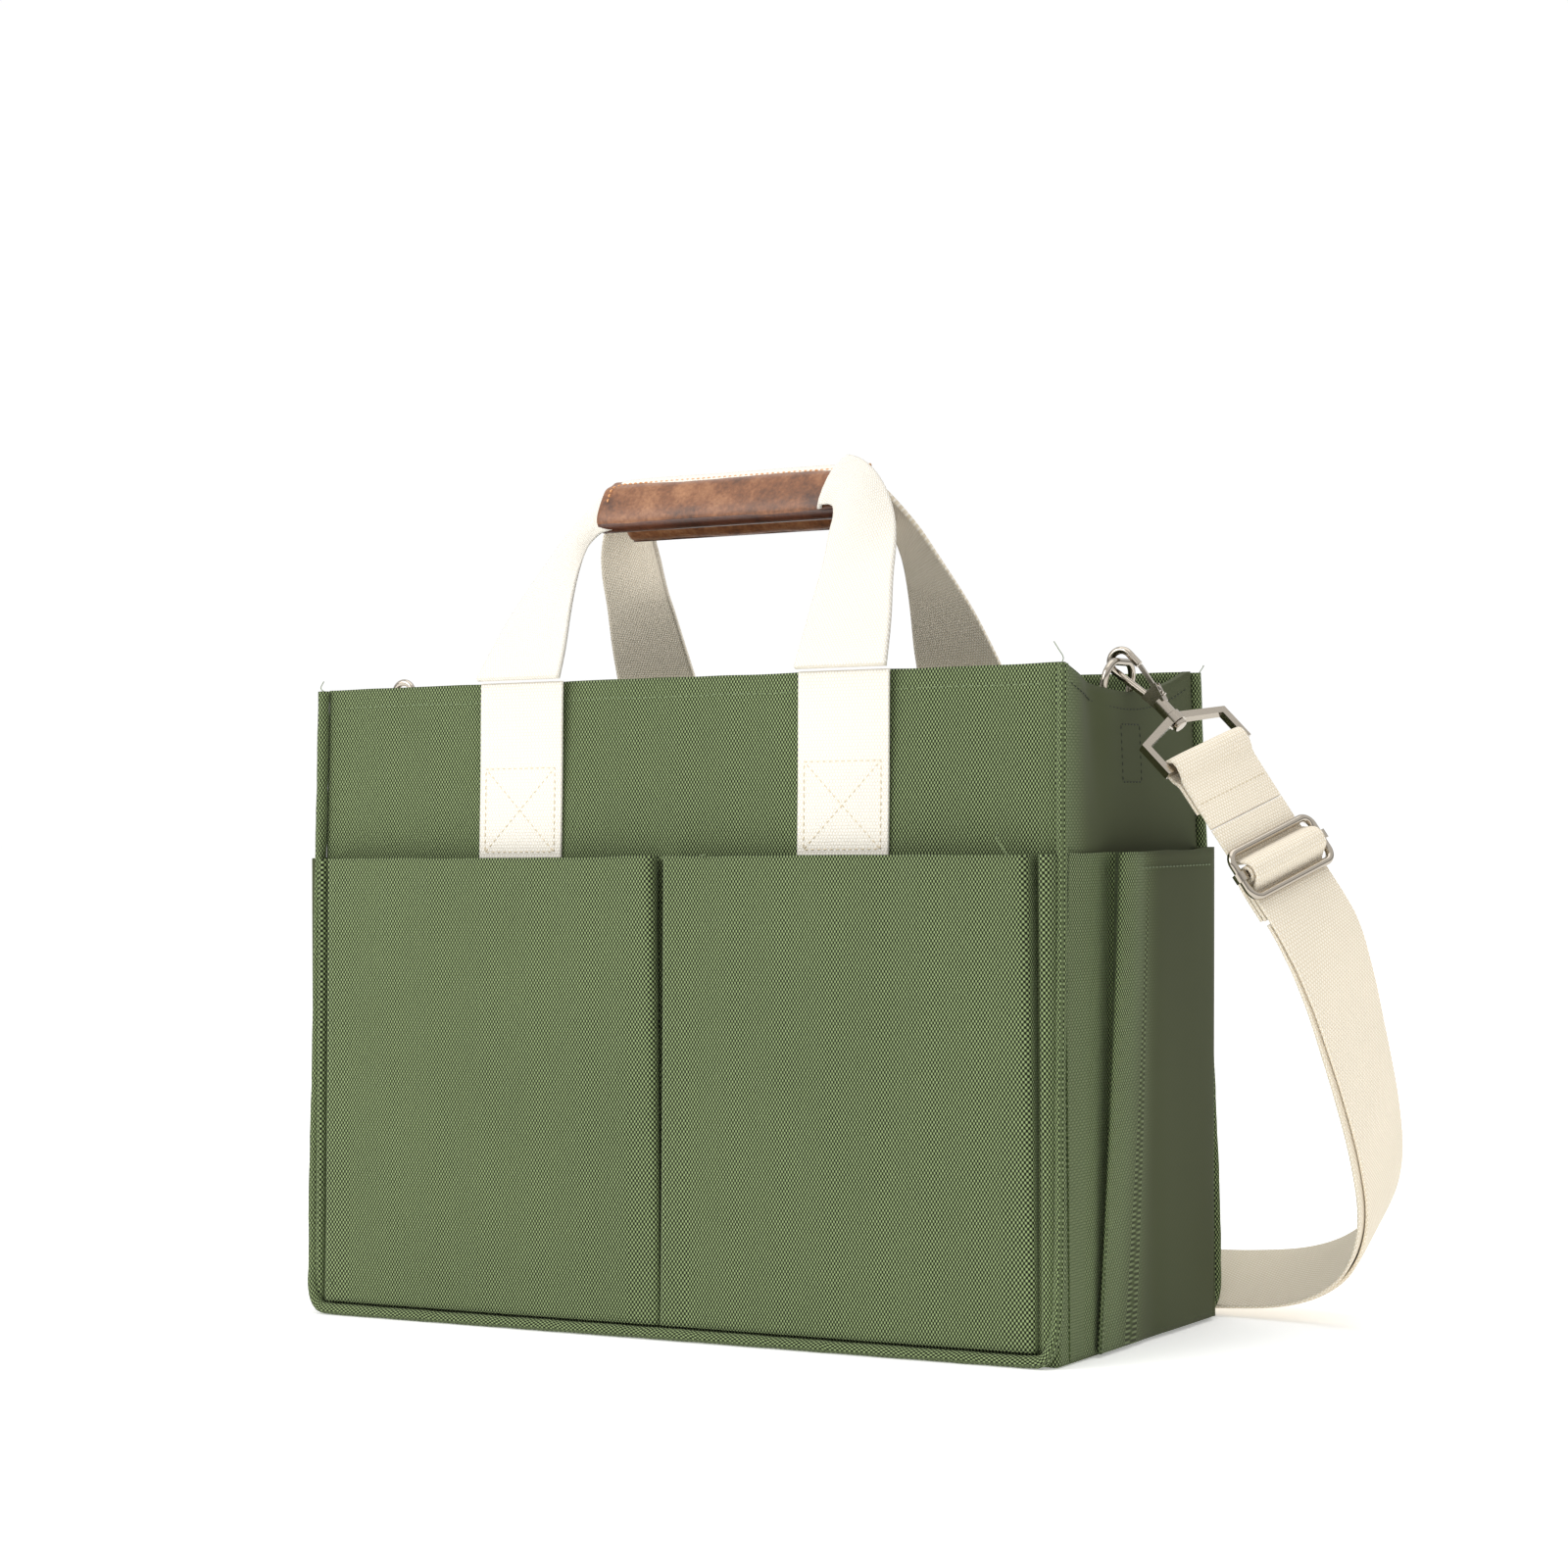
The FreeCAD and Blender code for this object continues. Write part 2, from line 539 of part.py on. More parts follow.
def d_ring_shape():
    """A bent wire D: a straight bar and a bow with round shoulders."""
    half = size("ring_inside") / 2 + size("ring_wire") / 2
    reach = size("ring_reach")
    shoulder = min(0.6 * reach, 0.6 * half)
    low = size("ring_wire") / 2
    bend = low + 0.2
    diagonal = math.sqrt(0.5)

    def arc(centre_y, centre_z, radius, turn_from, turn_to):
        middle = (turn_from + turn_to) / 2
        angles = [math.radians(a) for a in (turn_from, middle, turn_to)]
        return Part.Arc(*[V(0, centre_y + radius * math.cos(a), centre_z + radius * math.sin(a))
                          for a in angles]).toShape()

    top = reach
    inner_y, inner_z = half - shoulder, top - shoulder
    edges = [
        Part.LineSegment(V(0, -half + bend, 0), V(0, half - bend, 0)).toShape(),
        Part.Arc(V(0, half - bend, 0), V(0, half - bend + bend * diagonal, bend - bend * diagonal),
                 V(0, half, bend)).toShape(),
        Part.LineSegment(V(0, half, bend), V(0, half, inner_z)).toShape(),
        arc(inner_y, inner_z, shoulder, 0, 90),
        Part.LineSegment(V(0, inner_y, top), V(0, -inner_y, top)).toShape(),
        arc(-inner_y, inner_z, shoulder, 90, 180),
        Part.LineSegment(V(0, -half, inner_z), V(0, -half, bend)).toShape(),
        Part.Arc(V(0, -half, bend), V(0, -half + bend - bend * diagonal, bend - bend * diagonal),
                 V(0, -half + bend, 0)).toShape(),
    ]
    return swept(size("ring_wire") / 2, edges)


def tab_shape():
    """A folded webbing tab: a sleeve round the D-ring's bar and two layers below it."""
    fold = size("tab_fold")
    inner = size("ring_wire") / 2 + size("fit_gap")
    outer = inner + fold
    width = size("tab_width")
    sleeve = Part.makeCylinder(outer, width, V(0, -width / 2, 0), V(0, 1, 0))
    back = size("ring_standoff")
    length = size("tab_length")
    leaf = Part.makeBox(2 * fold, width, length, V(back - 2 * fold, -width / 2, -length))
    bore = Part.makeCylinder(inner, width, V(0, -width / 2, 0), V(0, 1, 0))
    return sleeve.fuse(leaf).cut(bore).removeSplitter()


# Points of the hook in its own frame: Z falls from the bow to the barrel.
SPINE_CONVERGES = math.radians(10)
SPINE_END = -19.0
NOSE_END = -5.8
GATE_PIVOT = V(2.6, 0, -17.3)
GATE_TIP = V(4.3, 0, -6.3)
BARREL_TOP = -22.5
BARREL_END = -27.7
SWIVEL_SEAT = -24.0
BOSS_TOP = -28.0
BOSS_END = -31.9
HEAD_TOP = -32.2
HEAD_END = -33.8
SPRING_LEAF = 0.36
SPRING_LINE = [(4.3, -20.62), (1.7, -20.62), (4.0, -19.5)]
GATE_PIN_RADIUS = 0.8
EAR_SPREAD = 2.1
GATE_HALF = 0.8


def hook_shape():
    """A cast snap hook: round bow, straight spine, forked root for the gate and a barrel."""
    bow = size("hook_bow")
    turn = SPINE_CONVERGES
    left = V(-bow * math.cos(turn), 0, -bow * math.sin(turn))
    drop = SPINE_END - left.z
    spine_foot = V(left.x - drop * math.tan(turn), 0, SPINE_END)
    arc = Part.Arc(V(bow, 0, 0), V(0, 0, bow), left).toShape()
    nose = Part.LineSegment(V(bow, 0, NOSE_END), V(bow, 0, 0)).toShape()
    spine = Part.LineSegment(left, spine_foot).toShape()
    wire = swept(size("hook_wire") / 2, [nose, arc, spine])

    def section(low_x, high_x, z):
        corners = [V(low_x, -EAR_SPREAD, z), V(high_x, -EAR_SPREAD, z),
                   V(high_x, EAR_SPREAD, z), V(low_x, EAR_SPREAD, z)]
        return Part.makePolygon(corners + corners[:1])

    root = Part.makeLoft([section(-3.1, 4.6, -15.6), section(-2.2, 2.6, BARREL_TOP)], True, True)
    barrel = Part.makeCylinder(size("barrel_radius"), BARREL_TOP - BARREL_END + 1.5,
                               V(0, 0, BARREL_END), V(0, 0, 1))
    slot_half = GATE_HALF + size("free_gap")
    slot = Part.makeBox(6, 2 * slot_half, 5.9, V(0.5, -slot_half, -20.8))
    pin_hole = rod(GATE_PIN_RADIUS, GATE_PIVOT + V(0, -4, 0), GATE_PIVOT + V(0, 4, 0))
    swivel_hole = Part.makeCylinder(size("swivel_radius"), SWIVEL_SEAT - BARREL_END,
                                    V(0, 0, BARREL_END), V(0, 0, 1))
    body = wire.fuse([root, barrel]).removeSplitter()
    return body.cut(slot).cut(pin_hole).cut(swivel_hole)


def gate_shape():
    """The sprung gate: a slim bar with a round knuckle on the gate pin."""
    knuckle_radius = 1.7
    axis = V(0, 1, 0)
    knuckle = Part.makeCylinder(knuckle_radius, 2 * GATE_HALF,
                                GATE_PIVOT - axis * GATE_HALF, axis)
    along = GATE_TIP - GATE_PIVOT
    across = V(along.z, 0, -along.x)
    across.normalize()
    half = 0.75
    bar = profile([((p + across * s).x, (p + across * s).z)
                   for p, s in ((GATE_PIVOT, half), (GATE_PIVOT, -half),
                                (GATE_TIP, -half), (GATE_TIP, half))], 2 * GATE_HALF)
    hole = rod(GATE_PIN_RADIUS + size("fit_gap"), GATE_PIVOT - axis * 3, GATE_PIVOT + axis * 3)
    return knuckle.fuse(bar).removeSplitter().cut(hole)


def swivel_pin_shape():
    """The swivel pin: a shank pressed into the barrel and a flat head inside the ring."""
    shank = Part.makeCylinder(size("swivel_radius"), SWIVEL_SEAT - HEAD_TOP,
                              V(0, 0, HEAD_TOP), V(0, 0, 1))
    head = Part.makeCylinder(size("barrel_radius"), HEAD_TOP - HEAD_END,
                             V(0, 0, HEAD_END), V(0, 0, 1))
    edge = [e for e in head.Edges if abs(e.BoundBox.ZMax - HEAD_END) < 1e-6
            and e.BoundBox.ZLength < 1e-6]
    return shank.fuse(head.makeFillet(0.5, edge)).removeSplitter()


SHOULDER = -34.2
BAR_TOP = -46.2


def strap_ring_shape():
    """The five-sided ring for the strap, with a boss that turns on the swivel pin."""
    bar, depth = size("loop_bar"), size("loop_depth")
    inner = size("loop_inside") / 2
    outer = inner + bar
    foot = BAR_TOP - bar

    def plate(points):
        corners = [V(-depth / 2, y, z) for y, z in points]
        return Part.Face(Part.makePolygon(corners + corners[:1])).extrude(V(depth, 0, 0))

    outside = plate([(-outer, SHOULDER), (-3.5, BOSS_TOP - 0.6), (3.5, BOSS_TOP - 0.6),
                     (outer, SHOULDER), (outer, foot), (-outer, foot)])
    inside = plate([(-inner, SHOULDER - 2), (-4, BOSS_END), (4, BOSS_END),
                    (inner, SHOULDER - 2), (inner, BAR_TOP), (-inner, BAR_TOP)])
    frame = outside.cut(inside)
    boss = Part.makeCylinder(3.3, BOSS_TOP - BOSS_END, V(0, 0, BOSS_END), V(0, 0, 1))
    bore = Part.makeCylinder(size("swivel_radius") + size("fit_gap"), 8,
                             V(0, 0, BOSS_END - 2), V(0, 0, 1))
    clear_head = Part.makeCylinder(size("barrel_radius") + size("free_gap"), 3,
                                   V(0, 0, BOSS_END - 3), V(0, 0, 1))
    return frame.fuse(boss).removeSplitter().cut(clear_head).cut(bore)


def make_rings_and_hooks():
    """D-rings in their tabs, snap hooks with sprung gates, swivel pins and strap rings."""
    for hand, word in ((1, "right"), (-1, "left")):
        upright = FreeCAD.Placement(ring_centre(hand), side_turn(hand))
        solid_feature("ring_tab_" + word, tab_shape(), upright)
        solid_feature("d_ring_" + word, d_ring_shape(), ring_frame(hand))
        frame = hook_frame(hand)
        solid_feature("snap_hook_" + word, hook_shape(), frame)
        solid_feature("hook_gate_" + word, gate_shape(), frame)
        solid_feature("gate_pin_" + word,
                      rod(GATE_PIN_RADIUS, GATE_PIVOT - V(0, EAR_SPREAD, 0),
                          GATE_PIVOT + V(0, EAR_SPREAD, 0)), frame)
        solid_feature("gate_spring_" + word, profile(band(SPRING_LINE, SPRING_LEAF), 1.4), frame)
        solid_feature("swivel_pin_" + word, swivel_pin_shape(), frame)
        solid_feature("strap_ring_" + word, strap_ring_shape(), loop_frame(hand))


# ---------------------------------------------------------------- shoulder strap

# The strap is sewn round the right strap ring, runs through the slider, round the left strap
# ring and back, and ends round the slider's cross bar, so it lies double past the slider.
# Route of the outer layer from the slider to the left ring: x, y, z, then the yaw and tilt of
# the webbing's width, in degrees. Chosen by hand.
STRAP_ROUTE = [
    (226.4, 6.8, 159.2, 20.4, 18.6), (232.6, 8.1, 149, 20.4, 18.6), (236, 17, 131, 14, 20),
    (236.5, 34, 104, 8, 22), (236, 52, 76, 4, 25), (232, 69, 49, 1, 28),
    (219, 82, 27.5, 0, 30), (195, 90, 14.5, 0, 29), (160, 92.5, 10.9, 0, 27),
    (115, 93, 10.5, 0, 27), (60, 94, 10.3, 0, 27), (5, 93.2, 10.5, 0, 27),
    (-50, 94.2, 10.3, 0, 27), (-96, 93.4, 10.6, 0, 27), (-138, 92.8, 11.3, 0, 27),
    (-172, 90, 15.5, 0, 26), (-196, 79, 31, 0, 24), (-208, 62, 56, 0, 20),
    (-212, 44, 86, 0, 15), (-209, 26, 116, 0, 10), (-202.5, 10, 147, 0, 4),
    (-194.2, 0, 172.6, 0, 0), (-186.7, 0, 193.2, 0, 0),
]
# The route was laid for this base depth and webbing width; FLOOR_RUN is its height there.
ROUTE_DEPTH, ROUTE_WEBBING, FLOOR_RUN = 136, 38, 10.5
# Where the route starts in the strap's frame and ends in the left loop's frame.
ROUTE_START = V(0.8887, 0.0133, -112.343)
ROUTE_END = V(1.0281, 0, -56.9419)
ARC_STEPS = 4
SEWN_END = -73.0
SLIDER_PLACE = -93.5
UPPER_END = -111.8


def route_points():
    """The route's points, moved with the bag's sizes.

    Each end follows its ring's frame, and that pull fades towards the floor; the run on the
    floor follows the base's edge and the webbing's lower edge.
    """
    laid = (V(*STRAP_ROUTE[0][:3]), V(*STRAP_ROUTE[-1][:3]))
    ends = (strap_frame().multVec(ROUTE_START), loop_frame(-1).multVec(ROUTE_END))
    out = (size("base_depth") - ROUTE_DEPTH) / 2
    up = (size("webbing_width") - ROUTE_WEBBING) / 2 * math.sin(math.radians(27))
    points = []
    for x, y, z, _, _ in STRAP_ROUTE:
        side = 0 if x > 0 else 1
        pull = ends[side] - laid[side]
        lift = min(max((z - FLOOR_RUN) / (laid[side].z - FLOOR_RUN), 0), 1)
        reach = min(abs(x / laid[side].x), 1)
        points.append(V(x + pull.x * reach, y + pull.y * lift + out * (1 - lift),
                        z + pull.z * lift + up * (1 - lift)))
    return points


def rounded_route(points):
    """Straight runs joined by tangent arcs, as stations: point, tangent and share of the run.

    Each arc's radius is 0.45 of its shorter run over the tangent of half its turn.
    """
    stations = [(points[0], (points[1] - points[0]).normalize(), 0.0)]
    radii = []
    for i in range(1, len(points) - 1):
        before, here, after = points[i - 1], points[i], points[i + 1]
        into = V(here - before).normalize()
        out = V(after - here).normalize()
        turn = into.getAngle(out)
        reach = 0.45 * min((here - before).Length, (after - here).Length)
        radius = reach / math.tan(turn / 2)
        radii.append(radius)
        centre = here + V(out - into).normalize() * (radius / math.cos(turn / 2))
        start = here - into * reach
        for step in range(ARC_STEPS + 1):
            angle = turn * step / ARC_STEPS
            side = V(start - centre).normalize()
            tangent = into * math.cos(angle) - side * math.sin(angle)
            place = centre + (side * math.cos(angle) + into * math.sin(angle)) * radius
            stations.append((place, tangent, i - 0.5 + step / ARC_STEPS))
    last = (points[-1] - points[-2]).normalize()
    stations.append((points[-1], last, len(points) - 1.0))
    return stations, radii


def ribbon(offset):
    """A layer of webbing along the strap's route, moved off it along its outer side."""
    stations, radii = rounded_route(route_points())
    half_width, half = size("webbing_width") / 2, size("webbing") / 2
    sections = []
    centres = []
    for place, tangent, share in stations:
        i = min(int(share), len(STRAP_ROUTE) - 2)
        part = share - i
        yaw, tilt = [math.radians(a + (b - a) * part)
                     for a, b in zip(STRAP_ROUTE[i][3:], STRAP_ROUTE[i + 1][3:])]
        across = V(math.cos(tilt) * math.sin(yaw), math.cos(tilt) * math.cos(yaw),
                   math.sin(tilt))
        across = (across - tangent * across.dot(tangent)).normalize()
        outwards = tangent.cross(across).normalize()
        centre = place + outwards * offset
        corners = [centre + across * (half_width * a) + outwards * (half * b)
                   for a, b in ((-1, -1), (1, -1), (1, 1), (-1, 1))]
        sections.append(Part.makePolygon(corners + corners[:1]))
        centres.append(centre)
    solid = Part.makeLoft(sections, True, True)
    length = sum((b - a).Length for a, b in zip(centres, centres[1:]))
    return solid, length, radii


def band(points, thickness):
    """Outline of a bent strip of this thickness along (X, Z) points."""
    line = [V(x, 0, z) for x, z in points]
    sides = []
    for sign in (1, -1):
        edge = []
        for i, here in enumerate(line):
            into = (here - line[max(i - 1, 0)]) if i else (line[1] - here)
            out = (line[i + 1] - here) if i < len(line) - 1 else into
            normals = [V(-d.z, 0, d.x).normalize() for d in (V(into), V(out))]
            mitre = (normals[0] + normals[1]).normalize()
            stretch = thickness / 2 / mitre.dot(normals[0])
            edge.append(here + mitre * (sign * stretch))
        sides.append(edge)
    return [(p.x, p.z) for p in sides[0] + sides[1][::-1]]


def make_strap():
    """Every stretch of the strap and the slider, each a solid of its own."""
    width, cloth = size("webbing_width"), size("webbing")
    gap = size("free_gap")
    right, left = strap_frame(), loop_frame(-1)
    wrap = math.hypot(size("loop_depth"), size("loop_bar")) / 2 + gap
    middle = BAR_TOP - size("loop_bar") / 2
    top = middle + wrap + cloth
    under = middle - wrap

    outside = profile([(-wrap - cloth, top), (wrap + cloth, top), (wrap + cloth, under),
                       (cloth, under - 4.5), (cloth, SEWN_END), (-cloth, SEWN_END),
                       (-cloth, under - 4.5), (-wrap - cloth, under)], width)
    eye = profile([(-wrap, top - cloth), (wrap, top - cloth), (wrap, under), (-wrap, under)],
                  width)
    solid_feature("strap_end_loop", outside.cut(eye), right)

    layer = gap / 2
    end = under - 6.5
    fold = profile([(-wrap - cloth, top), (wrap + cloth, top), (wrap + cloth, under),
                    (layer + cloth, end), (layer, end), (wrap, under), (wrap, top - cloth),
                    (-wrap, top - cloth), (-wrap, under), (-layer, end),
                    (-layer - cloth, end), (-wrap - cloth, under)], width)
    solid_feature("strap_left_fold", fold, left)

    # Upper stretch: flat, under the frame's bars, and humped over the folded end on the bar.
    lift = cloth / 2
    place = SLIDER_PLACE
    plane = lift + cloth / 2 + gap + size("slider_wire") / 2
    wrapped = size("slider_bar_wire") / 2 + gap / 2 + cloth
    crest = plane + wrapped + gap + cloth / 2
    foot = size("slider_height") / 2 - 2.6
    upper = band([(lift, SEWN_END - gap), (lift, place + foot), (crest, place + foot - 3.2),
                  (crest, place - foot + 3.2), (lift, place - foot), (lift, UPPER_END)], cloth)
    solid_feature("strap_upper", profile(upper, width), right)

    outer, length, radii = ribbon(0)
    solid_feature("strap_outer", outer, FreeCAD.Placement())
    back, back_length, _ = ribbon(-(cloth + gap))
    solid_feature("strap_return", back, FreeCAD.Placement())
    for name, solid, run in (("strap_outer", outer, length), ("strap_return", back, back_length)):
        section = width * cloth
        print("%s: length %.1f, volume over section x length %.4f, radii %s" % (
            name, run, solid.Volume / (section * run), " ".join("%.0f" % r for r in radii)))

    make_slider(right, plane, place, wrapped)


def make_slider(frame, plane, place, wrapped):
    """The wire slider: a rounded frame, a cross bar with eyes and the strap's folded end."""
    width, cloth, gap = size("webbing_width"), size("webbing"), size("free_gap")
    wire = size("slider_wire") / 2
    eye_outer = wire + 1.1
    half_w, half_h = width / 2 + gap + eye_outer, size("slider_height") / 2
    corner = size("slider_corner")

    def point(y, z):
        return V(plane, y, place + z)

    pieces = []
    inner_w, inner_h = half_w - corner, half_h - corner
    runs = [((-inner_w, half_h), (inner_w, half_h)), ((half_w, inner_h), (half_w, -inner_h)),
            ((inner_w, -half_h), (-inner_w, -half_h)), ((-half_w, -inner_h), (-half_w, inner_h))]
    for start, finish in runs:
        pieces.append(rod(wire, point(*start), point(*finish)))
    for y, z, first in ((inner_w, inner_h, 0), (-inner_w, inner_h, 90),
                        (-inner_w, -inner_h, 180), (inner_w, -inner_h, 270)):
        bend = Part.makeTorus(corner, wire, V(0, 0, 0), V(0, 0, 1), -180, 180, 90)
        bend.Placement = FreeCAD.Placement(
            point(y, z), FreeCAD.Rotation(V(1, 1, 1), 120).multiply(
                FreeCAD.Rotation(V(0, 0, 1), first)))
        pieces.append(bend)
    solid_feature("slider_frame", pieces[0].fuse(pieces[1:]).removeSplitter(), frame)

    bar = size("slider_bar_wire") / 2
    shaft = rod(bar, point(-half_w, 0), point(half_w, 0))
    eye_half = bar + 0.4
    for y in (-half_w, half_w):
        shaft = shaft.fuse(rod(eye_outer, point(y, -eye_half), point(y, eye_half)))
    for y in (-half_w, half_w):
        shaft = shaft.cut(rod(wire, point(y, -2 * bar), point(y, 2 * bar)))
    solid_feature("slider_bar", shaft.removeSplitter(), frame)

    tail_top = -gap
    eye = rod(wrapped, point(-width / 2, 0), point(width / 2, 0))
    neck = profile([(tail_top - 2 * cloth, place + cloth), (plane, place + cloth),
                    (plane, place - cloth), (tail_top - 2 * cloth, place - cloth)], width)
    tail = profile([(tail_top, place + cloth), (tail_top, UPPER_END + 1),
                    (tail_top - 2 * cloth, UPPER_END + 1), (tail_top - 2 * cloth, place + cloth)],
                   width)
    hole = rod(wrapped - cloth, point(-width, 0), point(width, 0))
    folded = eye.fuse([neck, tail]).removeSplitter().cut(hole)
    solid_feature("strap_slider_fold", folded, frame)


# ---------------------------------------------------------------- build, check and write


def check_and_export():
    """Stop on any failed object, then write each sub-part to its own file."""
    doc.recompute()
    for obj in doc.Objects:
        bad = [state for state in obj.State if state in ("Invalid", "Error")]
        if bad:
            raise RuntimeError("%s: %s" % (obj.Name, ", ".join(bad)))
    os.makedirs("parts", exist_ok=True)
    for node in NODES:
        shape = node.Shape
        if shape.isNull() or not shape.isValid() or shape.Volume <= 0:
            raise RuntimeError("%s has no valid shape" % node.Label)
    for node in NODES:
        node.Shape.exportStep("parts/%s.step" % node.Label)
    print("%d nodes written" % len(NODES))


make_walls()
make_pockets()
make_handle_legs()
make_handles()
make_rings_and_hooks()
make_strap()
check_and_export()
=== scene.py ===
"""Garden tool bag: the finished look of the canvas tote, its handles, strap and hooks."""
import logging
import math
from dataclasses import dataclass
from enum import Enum
from typing import Any, Dict, List, Sequence, Tuple

import bmesh
import bpy
import numpy as np
from mathutils import Matrix, Vector


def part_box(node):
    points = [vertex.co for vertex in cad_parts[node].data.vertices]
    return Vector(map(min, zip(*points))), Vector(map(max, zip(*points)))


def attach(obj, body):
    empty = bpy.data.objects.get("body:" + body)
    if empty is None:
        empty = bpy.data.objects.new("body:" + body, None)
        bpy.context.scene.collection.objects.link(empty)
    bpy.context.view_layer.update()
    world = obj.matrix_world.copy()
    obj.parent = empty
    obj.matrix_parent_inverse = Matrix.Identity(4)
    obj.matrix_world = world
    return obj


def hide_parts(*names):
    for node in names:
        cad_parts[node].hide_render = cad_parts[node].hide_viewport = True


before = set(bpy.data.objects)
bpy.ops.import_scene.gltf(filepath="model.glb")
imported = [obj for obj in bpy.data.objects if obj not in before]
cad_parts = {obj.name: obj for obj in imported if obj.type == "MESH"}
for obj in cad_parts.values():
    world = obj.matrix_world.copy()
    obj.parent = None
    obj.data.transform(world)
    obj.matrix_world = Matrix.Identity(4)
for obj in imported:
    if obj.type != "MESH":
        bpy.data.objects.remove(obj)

LOG = logging.getLogger("garden_tool_bag")
MM = 0.001
Array = np.ndarray
Colour = Tuple[float, float, float, float]


class Wall(Enum):
    """The two leaning walls, by the sign of Y."""

    FRONT = -1
    BACK = 1

    @property
    def word(self) -> str:
        """The wall as piece names say it."""
        return self.name.lower()

    @property
    def out(self) -> Array:
        """The direction out of the wall."""
        return np.array([0.0, float(self.value), 0.0])


class Hand(Enum):
    """The two ends of the bag, by the sign of X."""

    RIGHT = 1
    LEFT = -1

    @property
    def word(self) -> str:
        """The end as piece names say it."""
        return self.name.lower()

    @property
    def out(self) -> Array:
        """The direction out of the end."""
        return np.array([float(self.value), 0.0, 0.0])


# ------------------------------------------------------------------ small helpers


def linear(code: str) -> Colour:
    """Turns an sRGB hex code into a linear colour.

    Args:
        code: Six hex digits with a leading hash.

    Returns:
        Red, green, blue and alpha, linear.
    """
    parts = [int(code[i:i + 2], 16) / 255 for i in (1, 3, 5)]
    straight = [c / 12.92 if c <= 0.04045 else ((c + 0.055) / 1.055) ** 2.4 for c in parts]
    return (straight[0], straight[1], straight[2], 1.0)


def unit(vectors: Array) -> Array:
    """Scales vectors to length one along the last axis."""
    size = np.linalg.norm(vectors, axis=-1, keepdims=True)
    return vectors / np.maximum(size, 1e-12)


def ease(values: Array, low: float, high: float) -> Array:
    """Smooth step from 0 at low to 1 at high: three t squared less two t cubed."""
    t = np.clip((values - low) / (high - low), 0.0, 1.0)
    return t * t * (3 - 2 * t)


def through(knots: Sequence[Sequence[float]], count: int) -> Array:
    """Points evenly spaced along a smooth curve through the knots.

    A Catmull-Rom cubic joins each pair of knots, sampled finely and then respaced by length.

    Args:
        knots: Points of any dimension.
        count: Number of points wanted.

    Returns:
        The points, one row each.
    """
    k = np.asarray(knots, float)
    k = np.vstack([2 * k[0] - k[1], k, 2 * k[-1] - k[-2]])
    t = np.linspace(0, 1, 24, endpoint=False)[:, None]
    runs = []
    for a, b, c, d in zip(k[:-3], k[1:-2], k[2:-1], k[3:]):
        runs.append(0.5 * (2 * b + (c - a) * t + (2 * a - 5 * b + 4 * c - d) * t ** 2
                           + (3 * b - a - 3 * c + d) * t ** 3))
    return respaced(np.vstack(runs + [k[-2:-1]]), count)


def running_length(points: Array) -> Array:
    """Distance along a line of points, from 0."""
    return np.concatenate([[0], np.cumsum(np.linalg.norm(np.diff(points, axis=0), axis=1))])


def respaced(points: Array, count: int) -> Array:
    """The same line, as points evenly spaced along its length."""
    along = running_length(points)
    wanted = np.linspace(0, along[-1], count)
    return np.stack([np.interp(wanted, along, points[:, i]) for i in range(points.shape[1])], 1)


def repeated(direction: Sequence[float], points: Array) -> Array:
    """One direction, repeated for every point."""
    return np.broadcast_to(np.asarray(direction, float), points.shape)


def noise(values: Array, seed: int, waves: int = 5) -> Array:
    """Smooth unevenness: a sum of a few sines of random phase and falling height."""
    rng = np.random.default_rng(seed)
    total = np.zeros_like(values, dtype=float)
    for i in range(1, waves + 1):
        total += np.sin(values * i * rng.uniform(0.7, 1.3) + rng.uniform(0, 6.28)) / i
    return total / 2


def mesh_object(name: str, points: Array, faces: List[List[int]],
                uv: Array = None) -> bpy.types.Object:
    """Makes an object from vertices in millimetres and faces.

    Args:
        name: Piece name.
        points: Vertices, in millimetres.
        faces: Vertex numbers of each face.
        uv: One pair for each vertex, in millimetres along the cloth.

    Returns:
        The new object, at the origin.
    """
    mesh = bpy.data.meshes.new(name)
    mesh.from_pydata((points.reshape(-1, 3) * MM).tolist(), [], faces)
    if uv is not None:
        layer = mesh.uv_layers.new(name="cloth")
        loops = np.empty(len(mesh.loops), dtype=np.int32)
        mesh.loops.foreach_get("vertex_index", loops)
        layer.data.foreach_set("uv", uv.reshape(-1, 2)[loops].ravel().astype(np.float32))
    mesh.polygons.foreach_set("use_smooth", np.ones(len(mesh.polygons), dtype=bool))
    mesh.update()
    piece = bpy.data.objects.new(name, mesh)
    bpy.context.scene.collection.objects.link(piece)
    return piece


def grid_faces(rows: int, columns: int, wrap: bool = False) -> List[List[int]]:
    """Quads of a grid of vertices, closed round its columns if wrap is set."""
    i, j = np.meshgrid(np.arange(rows - 1), np.arange(columns if wrap else columns - 1),
                       indexing="ij")
    k = (j + 1) % columns
    quads = np.stack([i * columns + j, i * columns + k, (i + 1) * columns + k,
                      (i + 1) * columns + j], -1)
    return quads.reshape(-1, 4).tolist()


def cloth_grid(name: str, points: Array, uv: Array, thickness: float,
               wrap: bool = False) -> bpy.types.Object:
    """A sheet of cloth from a grid of points, given its thickness inwards by Solidify.

    Args:
        name: Piece name.
        points: Rows by columns by three, in millimetres, facing outwards.
        uv: Rows by columns by two, in millimetres.
        thickness: Cloth thickness, in millimetres.
        wrap: Whether the columns close on themselves.

    Returns:
        The new object.
    """
    piece = mesh_object(name, points, grid_faces(points.shape[0], points.shape[1], wrap), uv)
    wall = piece.modifiers.new("cloth thickness", "SOLIDIFY")
    wall.thickness = thickness * MM
    wall.offset = -1.0
    wall.use_even_offset = False
    return piece


